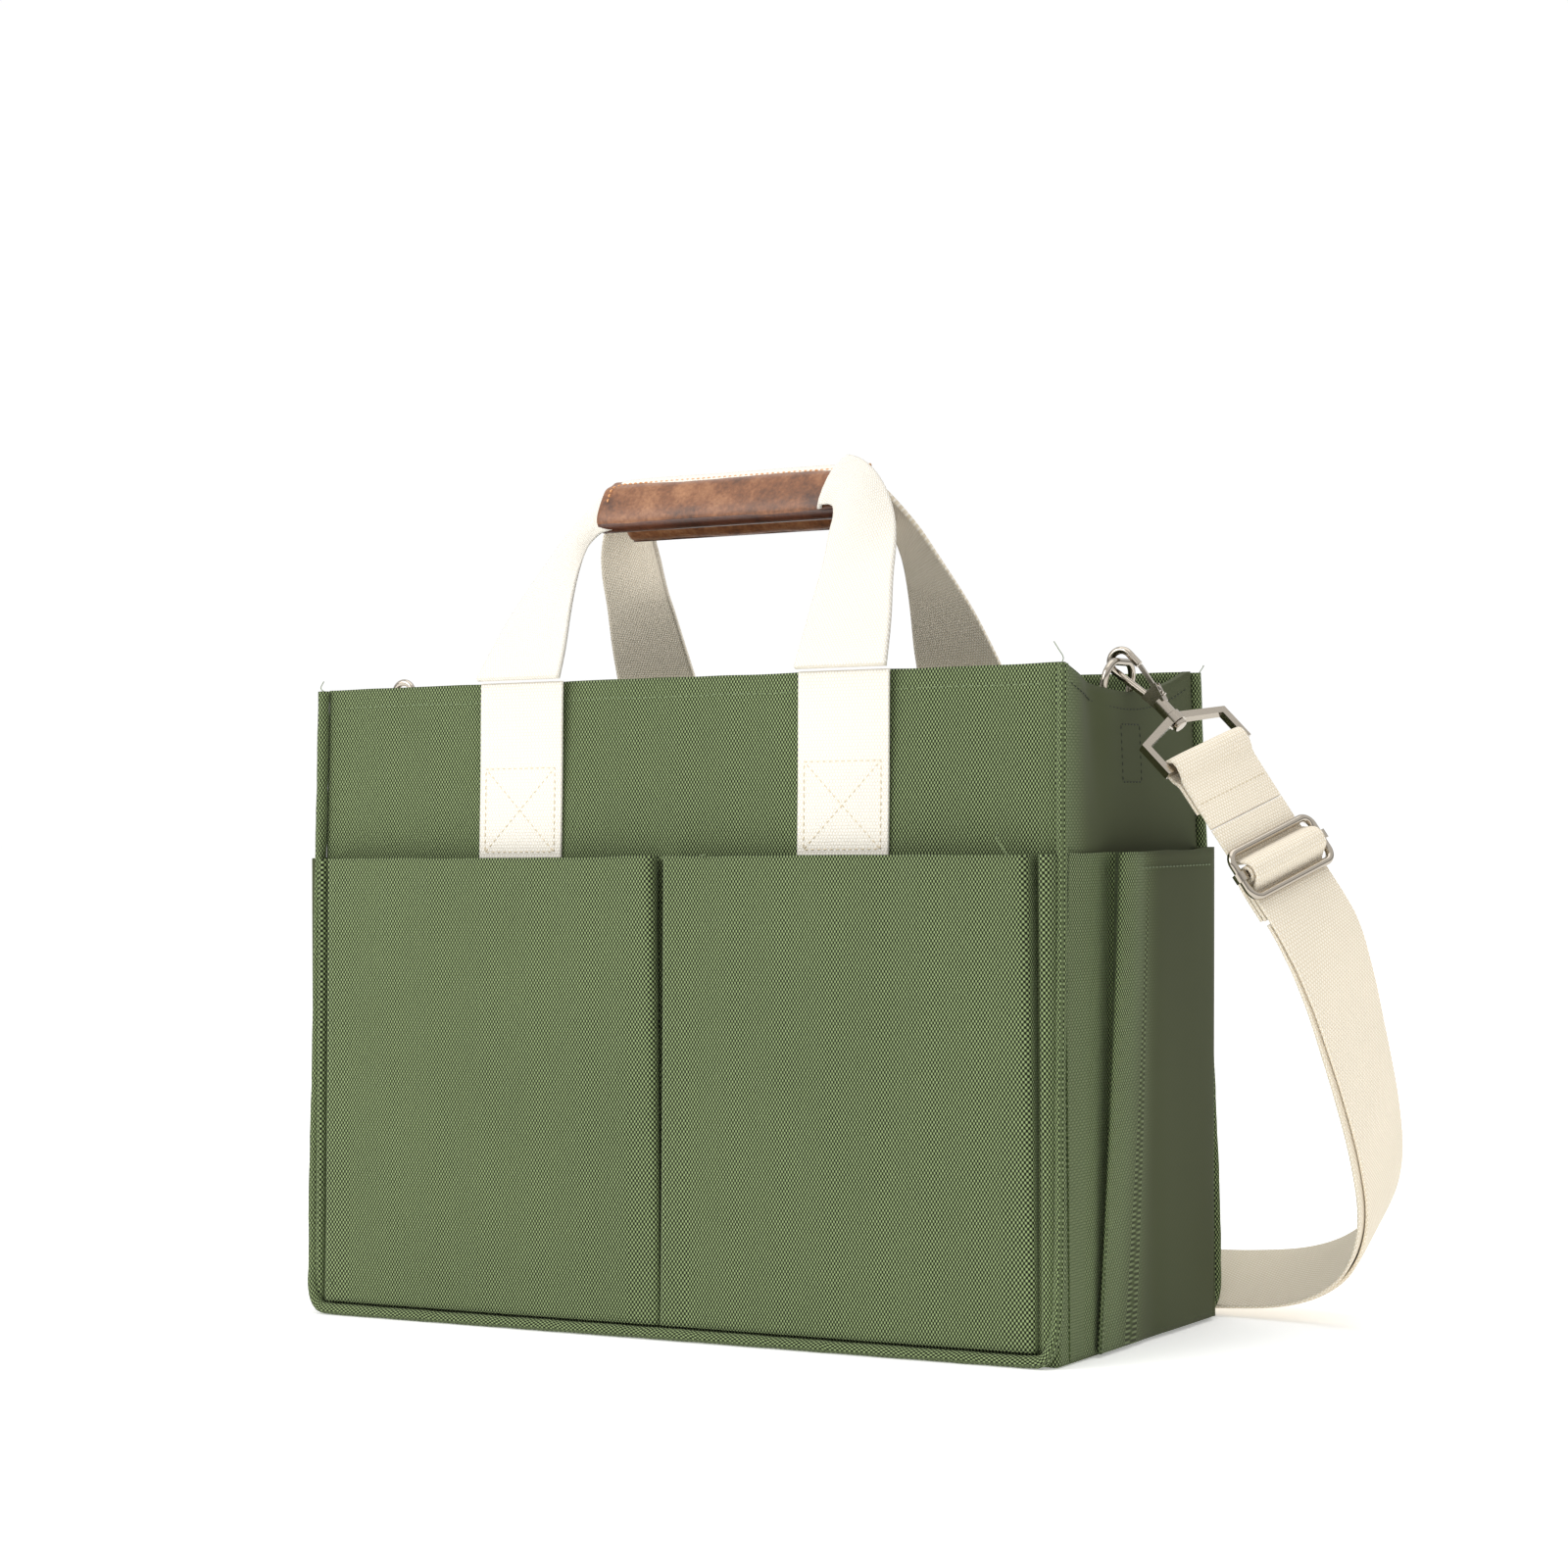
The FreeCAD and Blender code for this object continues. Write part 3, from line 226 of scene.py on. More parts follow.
def carried(name: str, path: Array, sides: Array, ups: Array,
            section: Array) -> bpy.types.Object:
    """A closed profile carried along a path.

    Each ring is the path's point plus the profile's first number along the side direction and
    its second along the up direction; the ends are closed by a fan round a middle point.

    Args:
        name: Piece name.
        path: Points along the piece, in millimetres.
        sides: Direction of the profile's first axis at each point.
        ups: Direction of the profile's second axis at each point.
        section: The profile, one row each, or one profile for every point of the path.

    Returns:
        The new object, with UV running round and along it in millimetres.
    """
    if section.ndim == 2:
        section = np.broadcast_to(section, (len(path),) + section.shape)
    rings = path[:, None] + sides[:, None] * section[..., 0:1] + ups[:, None] * section[..., 1:2]
    n, m = rings.shape[:2]
    steps = np.linalg.norm(np.roll(section, -1, axis=1) - section, axis=2)
    girth = np.concatenate([np.zeros((n, 1)), np.cumsum(steps, axis=1)[:, :-1]], 1)
    along = running_length(path)[:, None] + np.zeros((n, m))
    uv = np.stack([girth, along], -1).reshape(-1, 2)
    ring = np.arange(m)
    after = (ring + 1) % m
    start = np.stack([np.full(m, n * m), after, ring], 1)
    finish = np.stack([np.full(m, n * m + 1), (n - 1) * m + ring, (n - 1) * m + after], 1)
    points = np.vstack([rings.reshape(-1, 3), rings[0].mean(0), rings[-1].mean(0)])
    faces = grid_faces(n, m, True) + start.tolist() + finish.tolist()
    return turned_outwards(mesh_object(name, points, faces, np.vstack([uv, uv[:1], uv[-1:]])))


def turned_outwards(piece: bpy.types.Object) -> bpy.types.Object:
    """Makes a closed mesh face outwards: if its signed volume is negative, its faces flip."""
    work = bmesh.new()
    work.from_mesh(piece.data)
    if work.calc_volume(signed=True) < 0:
        bmesh.ops.reverse_faces(work, faces=work.faces)
        work.to_mesh(piece.data)
    work.free()
    return piece


def strip_section(width: float, thickness: float, across: int = 17) -> Array:
    """Profile of a webbing strip: two long faces joined by rounded, slightly swollen edges."""
    x = np.linspace(-1, 1, across)
    body = thickness / 2 * (1 - 0.25 * np.abs(x) ** 6)
    top = np.stack([x * (width / 2 - 0.5), body], 1)
    edge = np.linspace(math.pi / 2, -math.pi / 2, 7)[1:-1]
    swell = thickness / 2 * 0.86
    right = np.stack([width / 2 - 0.5 + 0.5 * np.cos(edge), swell * np.sin(edge)], 1)
    return np.vstack([top, right, top[::-1] * [1, -1], right[::-1] * [-1, 1]])


def stitch_row(name: str, points: Array, normals: Array, thread: float = 0.32,
               pitch: float = 2.6, fill: float = 0.72) -> bpy.types.Object:
    """A row of stitches along a line on a surface, as one mesh.

    The line is cut into equal pitches; each stitch is a slim eight-sided bead whose radius
    follows a half sine along its length, so its ends dive into the cloth.

    Args:
        name: Piece name.
        points: The line, in millimetres.
        normals: The surface's outward direction at each point.
        thread: Radius of the thread.
        pitch: Distance from stitch to stitch.
        fill: Share of the pitch that shows as thread.

    Returns:
        The new object.
    """
    along = running_length(points)
    count = max(1, int(along[-1] / pitch))
    step = along[-1] / count
    rows = np.linspace(0, 1, 5)
    stations = (np.arange(count)[:, None] + 0.5 + (rows[None] - 0.5) * fill) * step
    centre = np.stack([np.interp(stations, along, points[:, i]) for i in range(3)], -1)
    out = unit(np.stack([np.interp(stations, along, normals[:, i]) for i in range(3)], -1))
    tangent = unit(np.gradient(centre, axis=1))
    side = unit(np.cross(tangent, out))
    lift = 0.25 * thread * np.sin(math.pi * rows)[None, :, None] - 0.12
    radius = thread * (0.35 + 0.65 * np.sin(math.pi * np.clip(rows, 0.06, 0.94)))
    turn = np.linspace(0, 2 * math.pi, 8, endpoint=False)
    ring = (centre[:, :, None] + out[:, :, None] * lift[..., None]
            + radius[None, :, None, None] * (np.cos(turn)[:, None] * side[:, :, None]
                                             + np.sin(turn)[:, None] * out[:, :, None]))
    one = np.array(grid_faces(5, 8, True))
    faces = (one[None] + (np.arange(count) * 40)[:, None, None]).reshape(-1, 4)
    return mesh_object(name, ring.reshape(-1, 3), faces.tolist())


def pressed_and_shaded_on(piece: bpy.types.Object, amount: Array) -> None:
    """Stores how far each vertex's cloth has been pressed flat, from 0 to 1; the same mark paints
    its darker tone, which is painted shade of the sides turned away from the key.
    """
    layer = piece.data.attributes.new("pressed_and_shaded", "FLOAT", "POINT")
    layer.data.foreach_set("value", amount.astype(np.float32).ravel())


def shown_as(piece: bpy.types.Object, material: bpy.types.Material, body: str,
             slot: str, *nodes: str) -> bpy.types.Object:
    """Dresses a piece, makes it ride on a body and hides the nodes it stands for."""
    piece.data.materials.clear()
    piece.data.materials.append(material)
    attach(piece, body)
    if nodes:
        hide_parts(*nodes)
    LOG.info("%s: %d vertices on %s", piece.name, len(piece.data.vertices), body)
    return piece


# ------------------------------------------------------------------ finishes


def add(tree: bpy.types.NodeTree, kind: str, feeds: Dict[Any, Any] = None,
        stops: Sequence[Tuple[float, Colour]] = (), **settings: Any) -> bpy.types.Node:
    """Adds a shader node, sets its properties and fills or links its inputs.

    Args:
        tree: The node tree.
        kind: Blender's name for the node.
        feeds: A value or a socket for each input, by name or number.
        stops: Places and colours of a colour ramp.
        **settings: The node's other properties.

    Returns:
        The new node.
    """
    node = tree.nodes.new(kind)
    for key, value in settings.items():
        setattr(node, key, value)
    for key, value in (feeds or {}).items():
        if isinstance(value, bpy.types.NodeSocket):
            tree.links.new(value, node.inputs[key])
        else:
            node.inputs[key].default_value = value
    if stops:
        elements = node.color_ramp.elements
        while len(elements) < len(stops):
            elements.new(0.5)
        for element, (place, colour) in zip(elements, stops):
            element.position = place
            element.color = colour
    return node


def started(name: str, feeds: Dict[str, Any]) -> Tuple[bpy.types.Material, bpy.types.Node, Any]:
    """Starts a material with one shader.

    Args:
        name: The real material's name.
        feeds: The shader's inputs.

    Returns:
        The material, its shader and the socket of the object's own coordinates.
    """
    material = bpy.data.materials.new(name)
    material.use_nodes = True
    tree = material.node_tree
    tree.nodes.clear()
    shader = add(tree, "ShaderNodeBsdfPrincipled", feeds)
    add(tree, "ShaderNodeOutputMaterial", {0: shader.outputs[0]})
    return material, shader, add(tree, "ShaderNodeTexCoord").outputs["Object"]


@dataclass(frozen=True)
class Woven:
    """Yarn crossing yarn, drawn from the cloth's own UV in millimetres.

    The height is the product of a sine across and a sine along, so raised dots stand in rows
    and every other row is shifted by half a pitch.
    """

    name: str
    pale: str
    mid: str
    dark: str
    across: float
    along: float
    depth: float
    roughness: float
    sheen: float
    contrast: float = 1.0
    rib: float = 0.0
    # Colour painted where the mark is set: painted shade of cloth turned away from the key.
    pressed_and_shaded: str = ""

    def build(self) -> bpy.types.Material:
        """Makes the material."""
        material, shader, place = started(self.name, {
            "Roughness": self.roughness, "Sheen Weight": self.sheen, "Sheen Roughness": 0.5,
            "IOR": 1.5, "Specular IOR Level": 0.25})
        tree = material.node_tree
        uv = add(tree, "ShaderNodeUVMap", uv_map="cloth").outputs[0]
        # Uneven hand: large soft patches of dye and fine slubs in the yarn.
        patches = add(tree, "ShaderNodeTexNoise", {"Vector": place, "Scale": 14.0, "Detail": 3.0})
        slubs = add(tree, "ShaderNodeTexNoise", {"Vector": place, "Scale": 420.0, "Detail": 2.0})
        wobble = add(tree, "ShaderNodeVectorMath", {0: slubs.outputs["Color"],
                                                     1: (0.5, 0.5, 0.5)}, operation="SUBTRACT")
        bent = add(tree, "ShaderNodeVectorMath", {0: wobble.outputs[0], "Scale": 0.35},
                   operation="SCALE")
        yarns = add(tree, "ShaderNodeVectorMath", {0: uv, 1: bent.outputs[0]}, operation="ADD")
        split = add(tree, "ShaderNodeSeparateXYZ", {0: yarns.outputs[0]})
        # A sine of each distance, one half wave for each pitch.
        waves = []
        for axis, pitch in enumerate((self.across, self.along)):
            scaled = add(tree, "ShaderNodeMath", {0: split.outputs[axis], 1: math.pi / pitch},
                         operation="MULTIPLY")
            waves.append(add(tree, "ShaderNodeMath", {0: scaled.outputs[0]},
                             operation="SINE").outputs[0])
        one, two = waves
        dots = add(tree, "ShaderNodeMath", {0: one, 1: two}, operation="MULTIPLY").outputs[0]
        if self.rib:
            raised = add(tree, "ShaderNodeMath", {0: two}, operation="ABSOLUTE").outputs[0]
            dots = add(tree, "ShaderNodeMath", {0: raised, 1: self.rib, 2: dots},
                       operation="MULTIPLY_ADD").outputs[0]
        height = add(tree, "ShaderNodeMapRange", {"Value": dots, "From Min": -1.0,
                                                  "From Max": 1.0 + self.rib}).outputs[0]
        weave = add(tree, "ShaderNodeValToRGB", {0: height},
                    [(0.5 - 0.24 * self.contrast, linear(self.dark)), (0.5, linear(self.mid)),
                     (0.5 + 0.26 * self.contrast, linear(self.pale))]).outputs[0]
        shade = add(tree, "ShaderNodeMapRange", {"Value": patches.outputs["Fac"],
                                                 "To Min": 0.9, "To Max": 1.1}).outputs[0]
        tinted = add(tree, "ShaderNodeMix", {0: 1.0, 6: weave, 7: shade}, data_type="RGBA",
                     blend_type="MULTIPLY").outputs[2]
        strength: Any = 0.55
        if self.pressed_and_shaded:
            # Where the cloth has been pressed flat its weave fades; its colour there turns to one
            # darker tone, which is painted shade of the sides turned away from the key.
            press_and_shade = add(tree, "ShaderNodeAttribute", attribute_name="pressed_and_shaded").outputs["Fac"]
            tinted = add(tree, "ShaderNodeMix", {0: press_and_shade, 6: tinted, 7: linear(self.pressed_and_shaded)},
                         data_type="RGBA").outputs[2]
            strength = add(tree, "ShaderNodeMapRange", {"Value": press_and_shade, "To Min": 0.55,
                                                        "To Max": 0.08}).outputs[0]
        tree.links.new(tinted, shader.inputs["Base Color"])
        bump = add(tree, "ShaderNodeBump", {"Height": height, "Distance": self.depth * MM,
                                            "Strength": strength})
        tree.links.new(bump.outputs[0], shader.inputs["Normal"])
        return material


@dataclass(frozen=True)
class GrainedLeather:
    """Vegetable-tanned leather, drum-grained and waxed, darker where it is handled."""

    name: str
    pale: str
    mid: str
    dark: str
    roughness: float = 0.42

    def build(self) -> bpy.types.Material:
        """Makes the material."""
        material, shader, place = started(self.name, {
            "Roughness": self.roughness, "IOR": 1.5, "Coat Weight": 0.15, "Coat Roughness": 0.35})
        tree = material.node_tree
        pebbles = add(tree, "ShaderNodeTexVoronoi", {"Vector": place, "Scale": 900.0})
        wax = add(tree, "ShaderNodeTexNoise", {"Vector": place, "Scale": 55.0, "Detail": 5.0,
                                               "Roughness": 0.65})
        fine = add(tree, "ShaderNodeTexNoise", {"Vector": place, "Scale": 700.0, "Detail": 3.0})
        mixed = add(tree, "ShaderNodeMath", {0: fine.outputs["Fac"], 1: 0.35,
                                             2: wax.outputs["Fac"]}, operation="MULTIPLY_ADD")
        tone = add(tree, "ShaderNodeValToRGB", {0: mixed.outputs[0]},
                   [(0.45, linear(self.dark)), (0.66, linear(self.mid)),
                    (0.88, linear(self.pale))]).outputs[0]
        tree.links.new(tone, shader.inputs["Base Color"])
        grain = add(tree, "ShaderNodeMath", {0: pebbles.outputs["Distance"], 1: 0.7,
                                             2: fine.outputs["Fac"]}, operation="MULTIPLY_ADD")
        bump = add(tree, "ShaderNodeBump", {"Height": grain.outputs[0], "Strength": 0.35,
                                            "Distance": 0.25 * MM})
        tree.links.new(bump.outputs[0], shader.inputs["Normal"])
        return material


@dataclass(frozen=True)
class PlainFinish:
    """A plated metal or a plain thread: one colour, faint wear in its gloss."""

    name: str
    colour: str
    roughness: float
    metallic: float = 0.0
    sheen: float = 0.0
    glow: float = 0.0

    def build(self) -> bpy.types.Material:
        """Makes the material."""
        material, shader, place = started(self.name, {
            "Base Color": linear(self.colour), "Metallic": self.metallic,
            "Sheen Weight": self.sheen, "Emission Color": linear(self.colour),
            "Emission Strength": self.glow})
        tree = material.node_tree
        wear = add(tree, "ShaderNodeTexNoise", {"Vector": place, "Scale": 260.0, "Detail": 4.0})
        gloss = add(tree, "ShaderNodeMapRange", {"Value": wear.outputs["Fac"],
                                                 "To Min": self.roughness * 0.8,
                                                 "To Max": self.roughness * 1.25})
        tree.links.new(gloss.outputs[0], shader.inputs["Roughness"])
        bump = add(tree, "ShaderNodeBump", {"Height": wear.outputs["Fac"], "Strength": 0.08,
                                            "Distance": 0.1 * MM})
        tree.links.new(bump.outputs[0], shader.inputs["Normal"])
        return material


class Palette:
    """Every finish of the bag."""

    def __init__(self) -> None:
        """Builds the materials."""
        # Coarse olive canvas; its dark gaps between the yarns give most of its contrast.
        # The darker tone given for the sides, #454b30, is painted shade of cloth turned away from
        # the key.
        self.canvas = Woven("canvas plain woven polyester", "#96a677", "#46532f", "#0c1008",
                            0.65, 1.0, 0.5, 0.9, 0.05, pressed_and_shaded="#454b30").build()
        # The same cloth pressed flat on the sides, where its weave hardly shows, in a darker copy
        # whose darker colour is painted shade of cloth turned away from the key.
        self.smooth_canvas = Woven("canvas calendered side cloth", "#4b5236", "#434a2f",
                                   "#383e26", 0.42, 0.42, 0.12, 0.85, 0.05, 1.6).build()
        self.lining = Woven("lining plain woven", "#4c5937", "#414d2f", "#353f27", 0.4, 0.4,
                            0.12, 0.8, 0.1, 1.6).build()
        # Undyed cotton with a rib across it every 1.2 mm.
        self.webbing = Woven("webbing ribbed undyed cotton", "#f8f4ec", "#f0ebe0", "#d3c9b4",
                             0.62, 1.2, 0.4, 0.9, 0.1, 1.2, 0.9).build()
        # The strap's own natural cotton; the back handle's arch wears it too, where its warmer
        # colour is painted warm bounce light on the shaded inner face.
        self.strap_webbing = Woven("webbing ribbed natural cotton", "#f8f0e1", "#f0e6d3",
                                   "#d3c1a0", 0.62, 1.2, 0.4, 0.9, 0.1, 1.2, 0.9).build()
        self.leather = GrainedLeather("leather waxed brown", "#a87650", "#80502f",
                                      "#4c2c19").build()
        # The darker brown of the grip's lower fold is painted shade under the grip.
        self.shaded_fold_leather = GrainedLeather("leather burnished edge", "#6b3d26", "#4f2b1b",
                                           "#321a10").build()
        self.raw_edge = GrainedLeather("leather raw cut edge", "#dca457", "#c58a3e", "#9a6427",
                                       0.65).build()
        self.nickel = PlainFinish("nickel bright plated zinc", "#b6ada0", 0.15, 1.0).build()
        self.green_thread = PlainFinish("thread green polyester", "#6b7b52", 0.6,
                                        sheen=0.2).build()
        self.dark_thread = PlainFinish("thread dark green polyester", "#23291a", 0.7).build()
        self.cream_thread = PlainFinish("thread cream cotton", "#d8caae", 0.7, sheen=0.2).build()
        self.tan_thread = PlainFinish("thread tan waxed", "#dfa06a", 0.55).build()


# ------------------------------------------------------------------ the canvas body


@dataclass
class BagShell:
    """The lofted canvas body: one shell round all four walls, its base, lining and seams."""

    palette: Palette
    width: float = 325.0
    base_depth: float = 136.0
    rim_depth: float = 112.0
    height: float = 246.0
    corner: float = 2.2
    dip: float = 9.0
    wall: float = 3.2
    crease: float = 2.6
    hem: float = 7.0
    tab_box: Tuple[float, float, float] = (8, 204, 225)

    def half_depth(self, z: Any) -> Any:
        """Half the bag's depth at a height."""
        return self.base_depth / 2 - (self.base_depth - self.rim_depth) / 2 * z / self.height

    def outline(self, per_side: int, per_corner: int) -> Tuple[Array, Array, Array, Array]:
        """Stations round the walls, counter-clockwise from the middle of the right side.

        Args:
            per_side: Stations on each side.
            per_corner: Stations on each corner.

        Returns:
            Share of the straight width and depth, the outward direction, and the distance
            round the bag, each an array.
        """
        parts: List[Array] = []
        sweep = np.linspace(-1, 1, per_side)
        bend = np.linspace(0, math.pi / 2, per_corner + 2)[1:-1]
        for number, (cx, cy) in enumerate(((1, 0), (0, 1), (-1, 0), (0, -1))):
            start = number * math.pi / 2
            fx = np.full(per_side, float(cx)) if cx else -sweep * cy
            fy = sweep * cx if cx else np.full(per_side, float(cy))
            parts.append(np.stack([fx, fy, np.full(per_side, start)]))
            parts.append(np.stack([np.full(per_corner, fx[-1]), np.full(per_corner, fy[-1]),
                                   start + bend]))
        x, y, angle = np.concatenate(parts, axis=1)
        normal = np.stack([np.cos(angle), np.sin(angle)], 1)
        loop = np.stack([x * (self.width / 2 - self.corner),
                         y * (self.base_depth / 2 - self.corner)], 1) + self.corner * normal
        return x, y, normal, running_length(np.vstack([loop, loop[:1]]))[:-1]

    def long_bow(self, fx: Any, share: Any) -> Any:
        """How far a long wall bows out: out at the middle, in at the rim, with a faint wave."""
        return ((1 - fx ** 2) * (1.1 * np.sin(math.pi * share) - 1.9 * share ** 3)
                + 0.35 * noise(fx * 5, 3) * share ** 2)

    def side_bulge(self, fy: Any, share: Any) -> Any:
        """How far a side bulges out: out at the middle of its height, in at the rim."""
        return (1 - fy ** 2) * (1.4 * np.sin(math.pi * share) - share ** 4)

    def side_crease(self, fy: Any, share: Any) -> Any:
        """The soft upright crease behind each front seam: a bell curve across the side."""
        bell = np.exp(-((fy * 56 + 30) / 9) ** 2)
        return -self.crease * bell * ease(share, 0.72, 0.98)

    def surface(self, inset: float, low: float, drop: float, rows: int,
                per_side: int = 110) -> Tuple[Array, Array]:
        """The wall surface at an inset.

        Each station's place is the corner's centre plus the corner's radius along its
        direction, moved out by the bow of its wall.

        Args:
            inset: Distance inside the outer face.
            low: Height of the lowest row.
            drop: Distance of the top row under the rim.
            rows: Number of rows.
            per_side: Stations on each side.

        Returns:
            Points and UV, both rows by stations.
        """
        fx, fy, normal, round_bag = self.outline(per_side, 5)
        side_face, long_face = np.abs(normal).T
        sag = self.dip * (1 - fy ** 2) * side_face ** 4
        z = low + np.linspace(0, 1, rows)[:, None] * (self.height - drop - sag - low)
        share = z / self.height
        x = (fx * (self.width / 2 - self.corner) + (self.corner - inset) * normal[:, 0]
             + np.sign(fx) * side_face * (self.side_crease(fy, share)
                                          + self.side_bulge(fy, share)))
        y = (fy * (self.half_depth(z) - self.corner) + (self.corner - inset) * normal[:, 1]
             + np.sign(fy) * long_face * self.long_bow(fx, share))
        z = z + 0.25 * noise(round_bag / 18, 9) * share ** 3
        return np.stack([x, y, z], -1), np.stack([np.broadcast_to(round_bag, z.shape), z], -1)

    def build(self) -> None:
        """Makes and dresses the walls, base, lining and seams."""
        points, uv = self.surface(0.0, 0.6, 0.0, 90)
        shell = cloth_grid("canvas_walls", points, uv, self.wall, wrap=True)
        shown_as(shell, self.palette.canvas, "bag", "canvas", "front_panel", "back_panel",
                 "side_panel_left", "side_panel_right", "rim_hem", "front_board", "back_board")
        # The sides, back from a strip by the front seams, are marked: their weave is smoothed and
        # their colour darkened, which is painted shade of the sides turned away from the key.
        flat = ease(points[..., 1], -56, -34) * (np.abs(points[..., 0]) > self.width / 2 - 5)
        pressed_and_shaded_on(shell, flat)
        self.base()
        self.inside()
        for wall in Wall:
            self.seam(wall)
            self.hem_stitches(wall)
        self.side_stitches()

    def base(self) -> None:
        """The canvas base and the stiff board over it, as thin rounded sheets."""
        fx, fy, normal, _ = self.outline(60, 5)
        for name, z, inset, cloth, node in (
                ("canvas_base", 1.4, 1.2, self.palette.canvas, "base_panel"),
                ("base_board_cover", 4.0, 3.4, self.palette.lining, "base_board")):
            rim = np.stack([fx * (self.width / 2 - self.corner) + (self.corner - inset)
                            * normal[:, 0],
                            fy * (self.base_depth / 2 - self.corner) + (self.corner - inset)
                            * normal[:, 1], np.full(len(fx), z)], 1)
            share = np.linspace(1.0, 0.0, 30)[:, None, None]
            flat = rim[None] * np.array([1, 1, 0]) * share + np.array([0, 0, z])
            sheet = cloth_grid(name, flat, flat[..., :2], 1.2, wrap=True)
            shown_as(sheet, cloth, "bag", "canvas", node)

    def inside(self) -> None:
        """The lining, hung inside the hem."""
        points, uv = self.surface(self.wall + 0.25, 4.4, 15.0, 60)
        lining = cloth_grid("lining_cloth", points, uv, 0.6, wrap=True)
        shown_as(lining, self.palette.lining, "bag", "lining_cloth", "lining")

    def seam_path(self, wall: Wall, reach: float = 0.4) -> Tuple[Array, Array]:
        """The seam down one edge, round the eased bottom corners and up the other.

        Args:
            wall: The wall that the seam frames.
            reach: Distance of the seam past the side.

        Returns:
            Points of the seam and the direction away from the panel's middle at each.
        """
        edge = self.width / 2 + reach
        knots = [(-edge, self.height - 0.5), (-edge, 200), (-edge - 0.3, 150), (-edge, 100),
                 (-edge - 0.4, 50), (-edge + 0.2, 20), (-edge + 1.2, 10), (-edge + 4.4, 3.6),
                 (-edge + 10, 2.6), (-edge + 22, 2.5), (-80, 2.5), (0, 2.6), (80, 2.5)]
        right = [(-x, z) for x, z in knots[:-3]][::-1]
        flat = through(knots + right, 420)
        low = 1 - ease(flat[:, 1], 2, 22)
        y = wall.value * (self.half_depth(flat[:, 1]) + 1.2 + 2.0 * low)
        path = np.stack([flat[:, 0], y, flat[:, 1]], 1)
        tangent = unit(np.gradient(path, axis=0))
        out = unit(np.cross(tangent, np.array([0, 1.0, 0])))
        return path, out

    def seam(self, wall: Wall) -> None:
        """A raised seam: a folded edge of canvas 5 mm deep that stands out of the corner."""
        path, out = self.seam_path(wall)
        away = np.sign((out * (path - np.array([0, 0, 120.0]))).sum(1))[:, None]
        out = out * away
        side = unit(out * 0.72 + wall.out * 0.7)
        up = unit(np.cross(unit(np.gradient(path, axis=0)), side))
        turn = np.linspace(0, 2 * math.pi, 14, endpoint=False)
        oval = np.stack([2.3 * np.cos(turn), 2.0 * np.sin(turn)], 1)
        along = running_length(path)
        swell = 1 + 0.05 * noise(along / 6, 4)
        section = oval[None] * swell[:, None, None]
        path = path + side * 0.2
        piece = carried("seam_%s" % wall.word, path, side, up, section)
        shown_as(piece, self.palette.canvas, "bag", "canvas",
                 "%s_seam_binding" % wall.word)

    def hem_stitches(self, wall: Wall) -> None:
        """The hem's stitch line, 7 mm under the rim of the front or back."""
        x = np.linspace(-self.width / 2 + 8, self.width / 2 - 8, 240)
        level = self.height - self.hem
        bow = self.long_bow(x / (self.width / 2 - self.corner), level / self.height)
        y = wall.value * (self.half_depth(level) + bow + 0.1)
        line = np.stack([x, y, np.full_like(x, level - 0.2) + 0.2 * noise(x / 9, 5)], 1)
        normals = repeated(wall.out, line)
        row = stitch_row("hem_stitches_%s" % wall.word, line, normals, 0.3, 3.0, 0.6)
        shown_as(row, self.palette.green_thread, "bag", "canvas")

    def side_stitches(self) -> None:
        """Hem stitches over each side and the box that holds each D-ring's tab."""
        half, low, high = self.tab_box
        corners = [(-half, low), (half, low), (half, high), (-half, high), (-half, low)]
        for hand in Hand:
            y = np.linspace(-50, 50, 120)
            fy = y / 51
            z = self.height - self.dip * (1 - fy ** 2) - 6.5
            share = z / self.height
            stand = self.side_crease(fy, share) + self.side_bulge(fy, share) + 0.05
            line = np.stack([hand.value * (self.width / 2 + stand), y, z], 1)
            row = stitch_row("side_hem_stitches_%s" % hand.word, line,
                             repeated(hand.out, line), 0.26, 2.8, 0.6)
            shown_as(row, self.palette.dark_thread, "bag", "canvas")
            y, z = np.vstack([np.linspace(a, b, 24) for a, b in zip(corners, corners[1:])]).T
            stand = self.side_bulge(y / 51, z / self.height) + 0.02
            box = np.stack([hand.value * (self.width / 2 + stand), y, z], 1)
            row = stitch_row("tab_stitches_%s" % hand.word, box, repeated(hand.out, box), 0.34,
                             2.6, 0.6)
            shown_as(row, self.palette.dark_thread, "bag", "canvas")


# ------------------------------------------------------------------ pockets


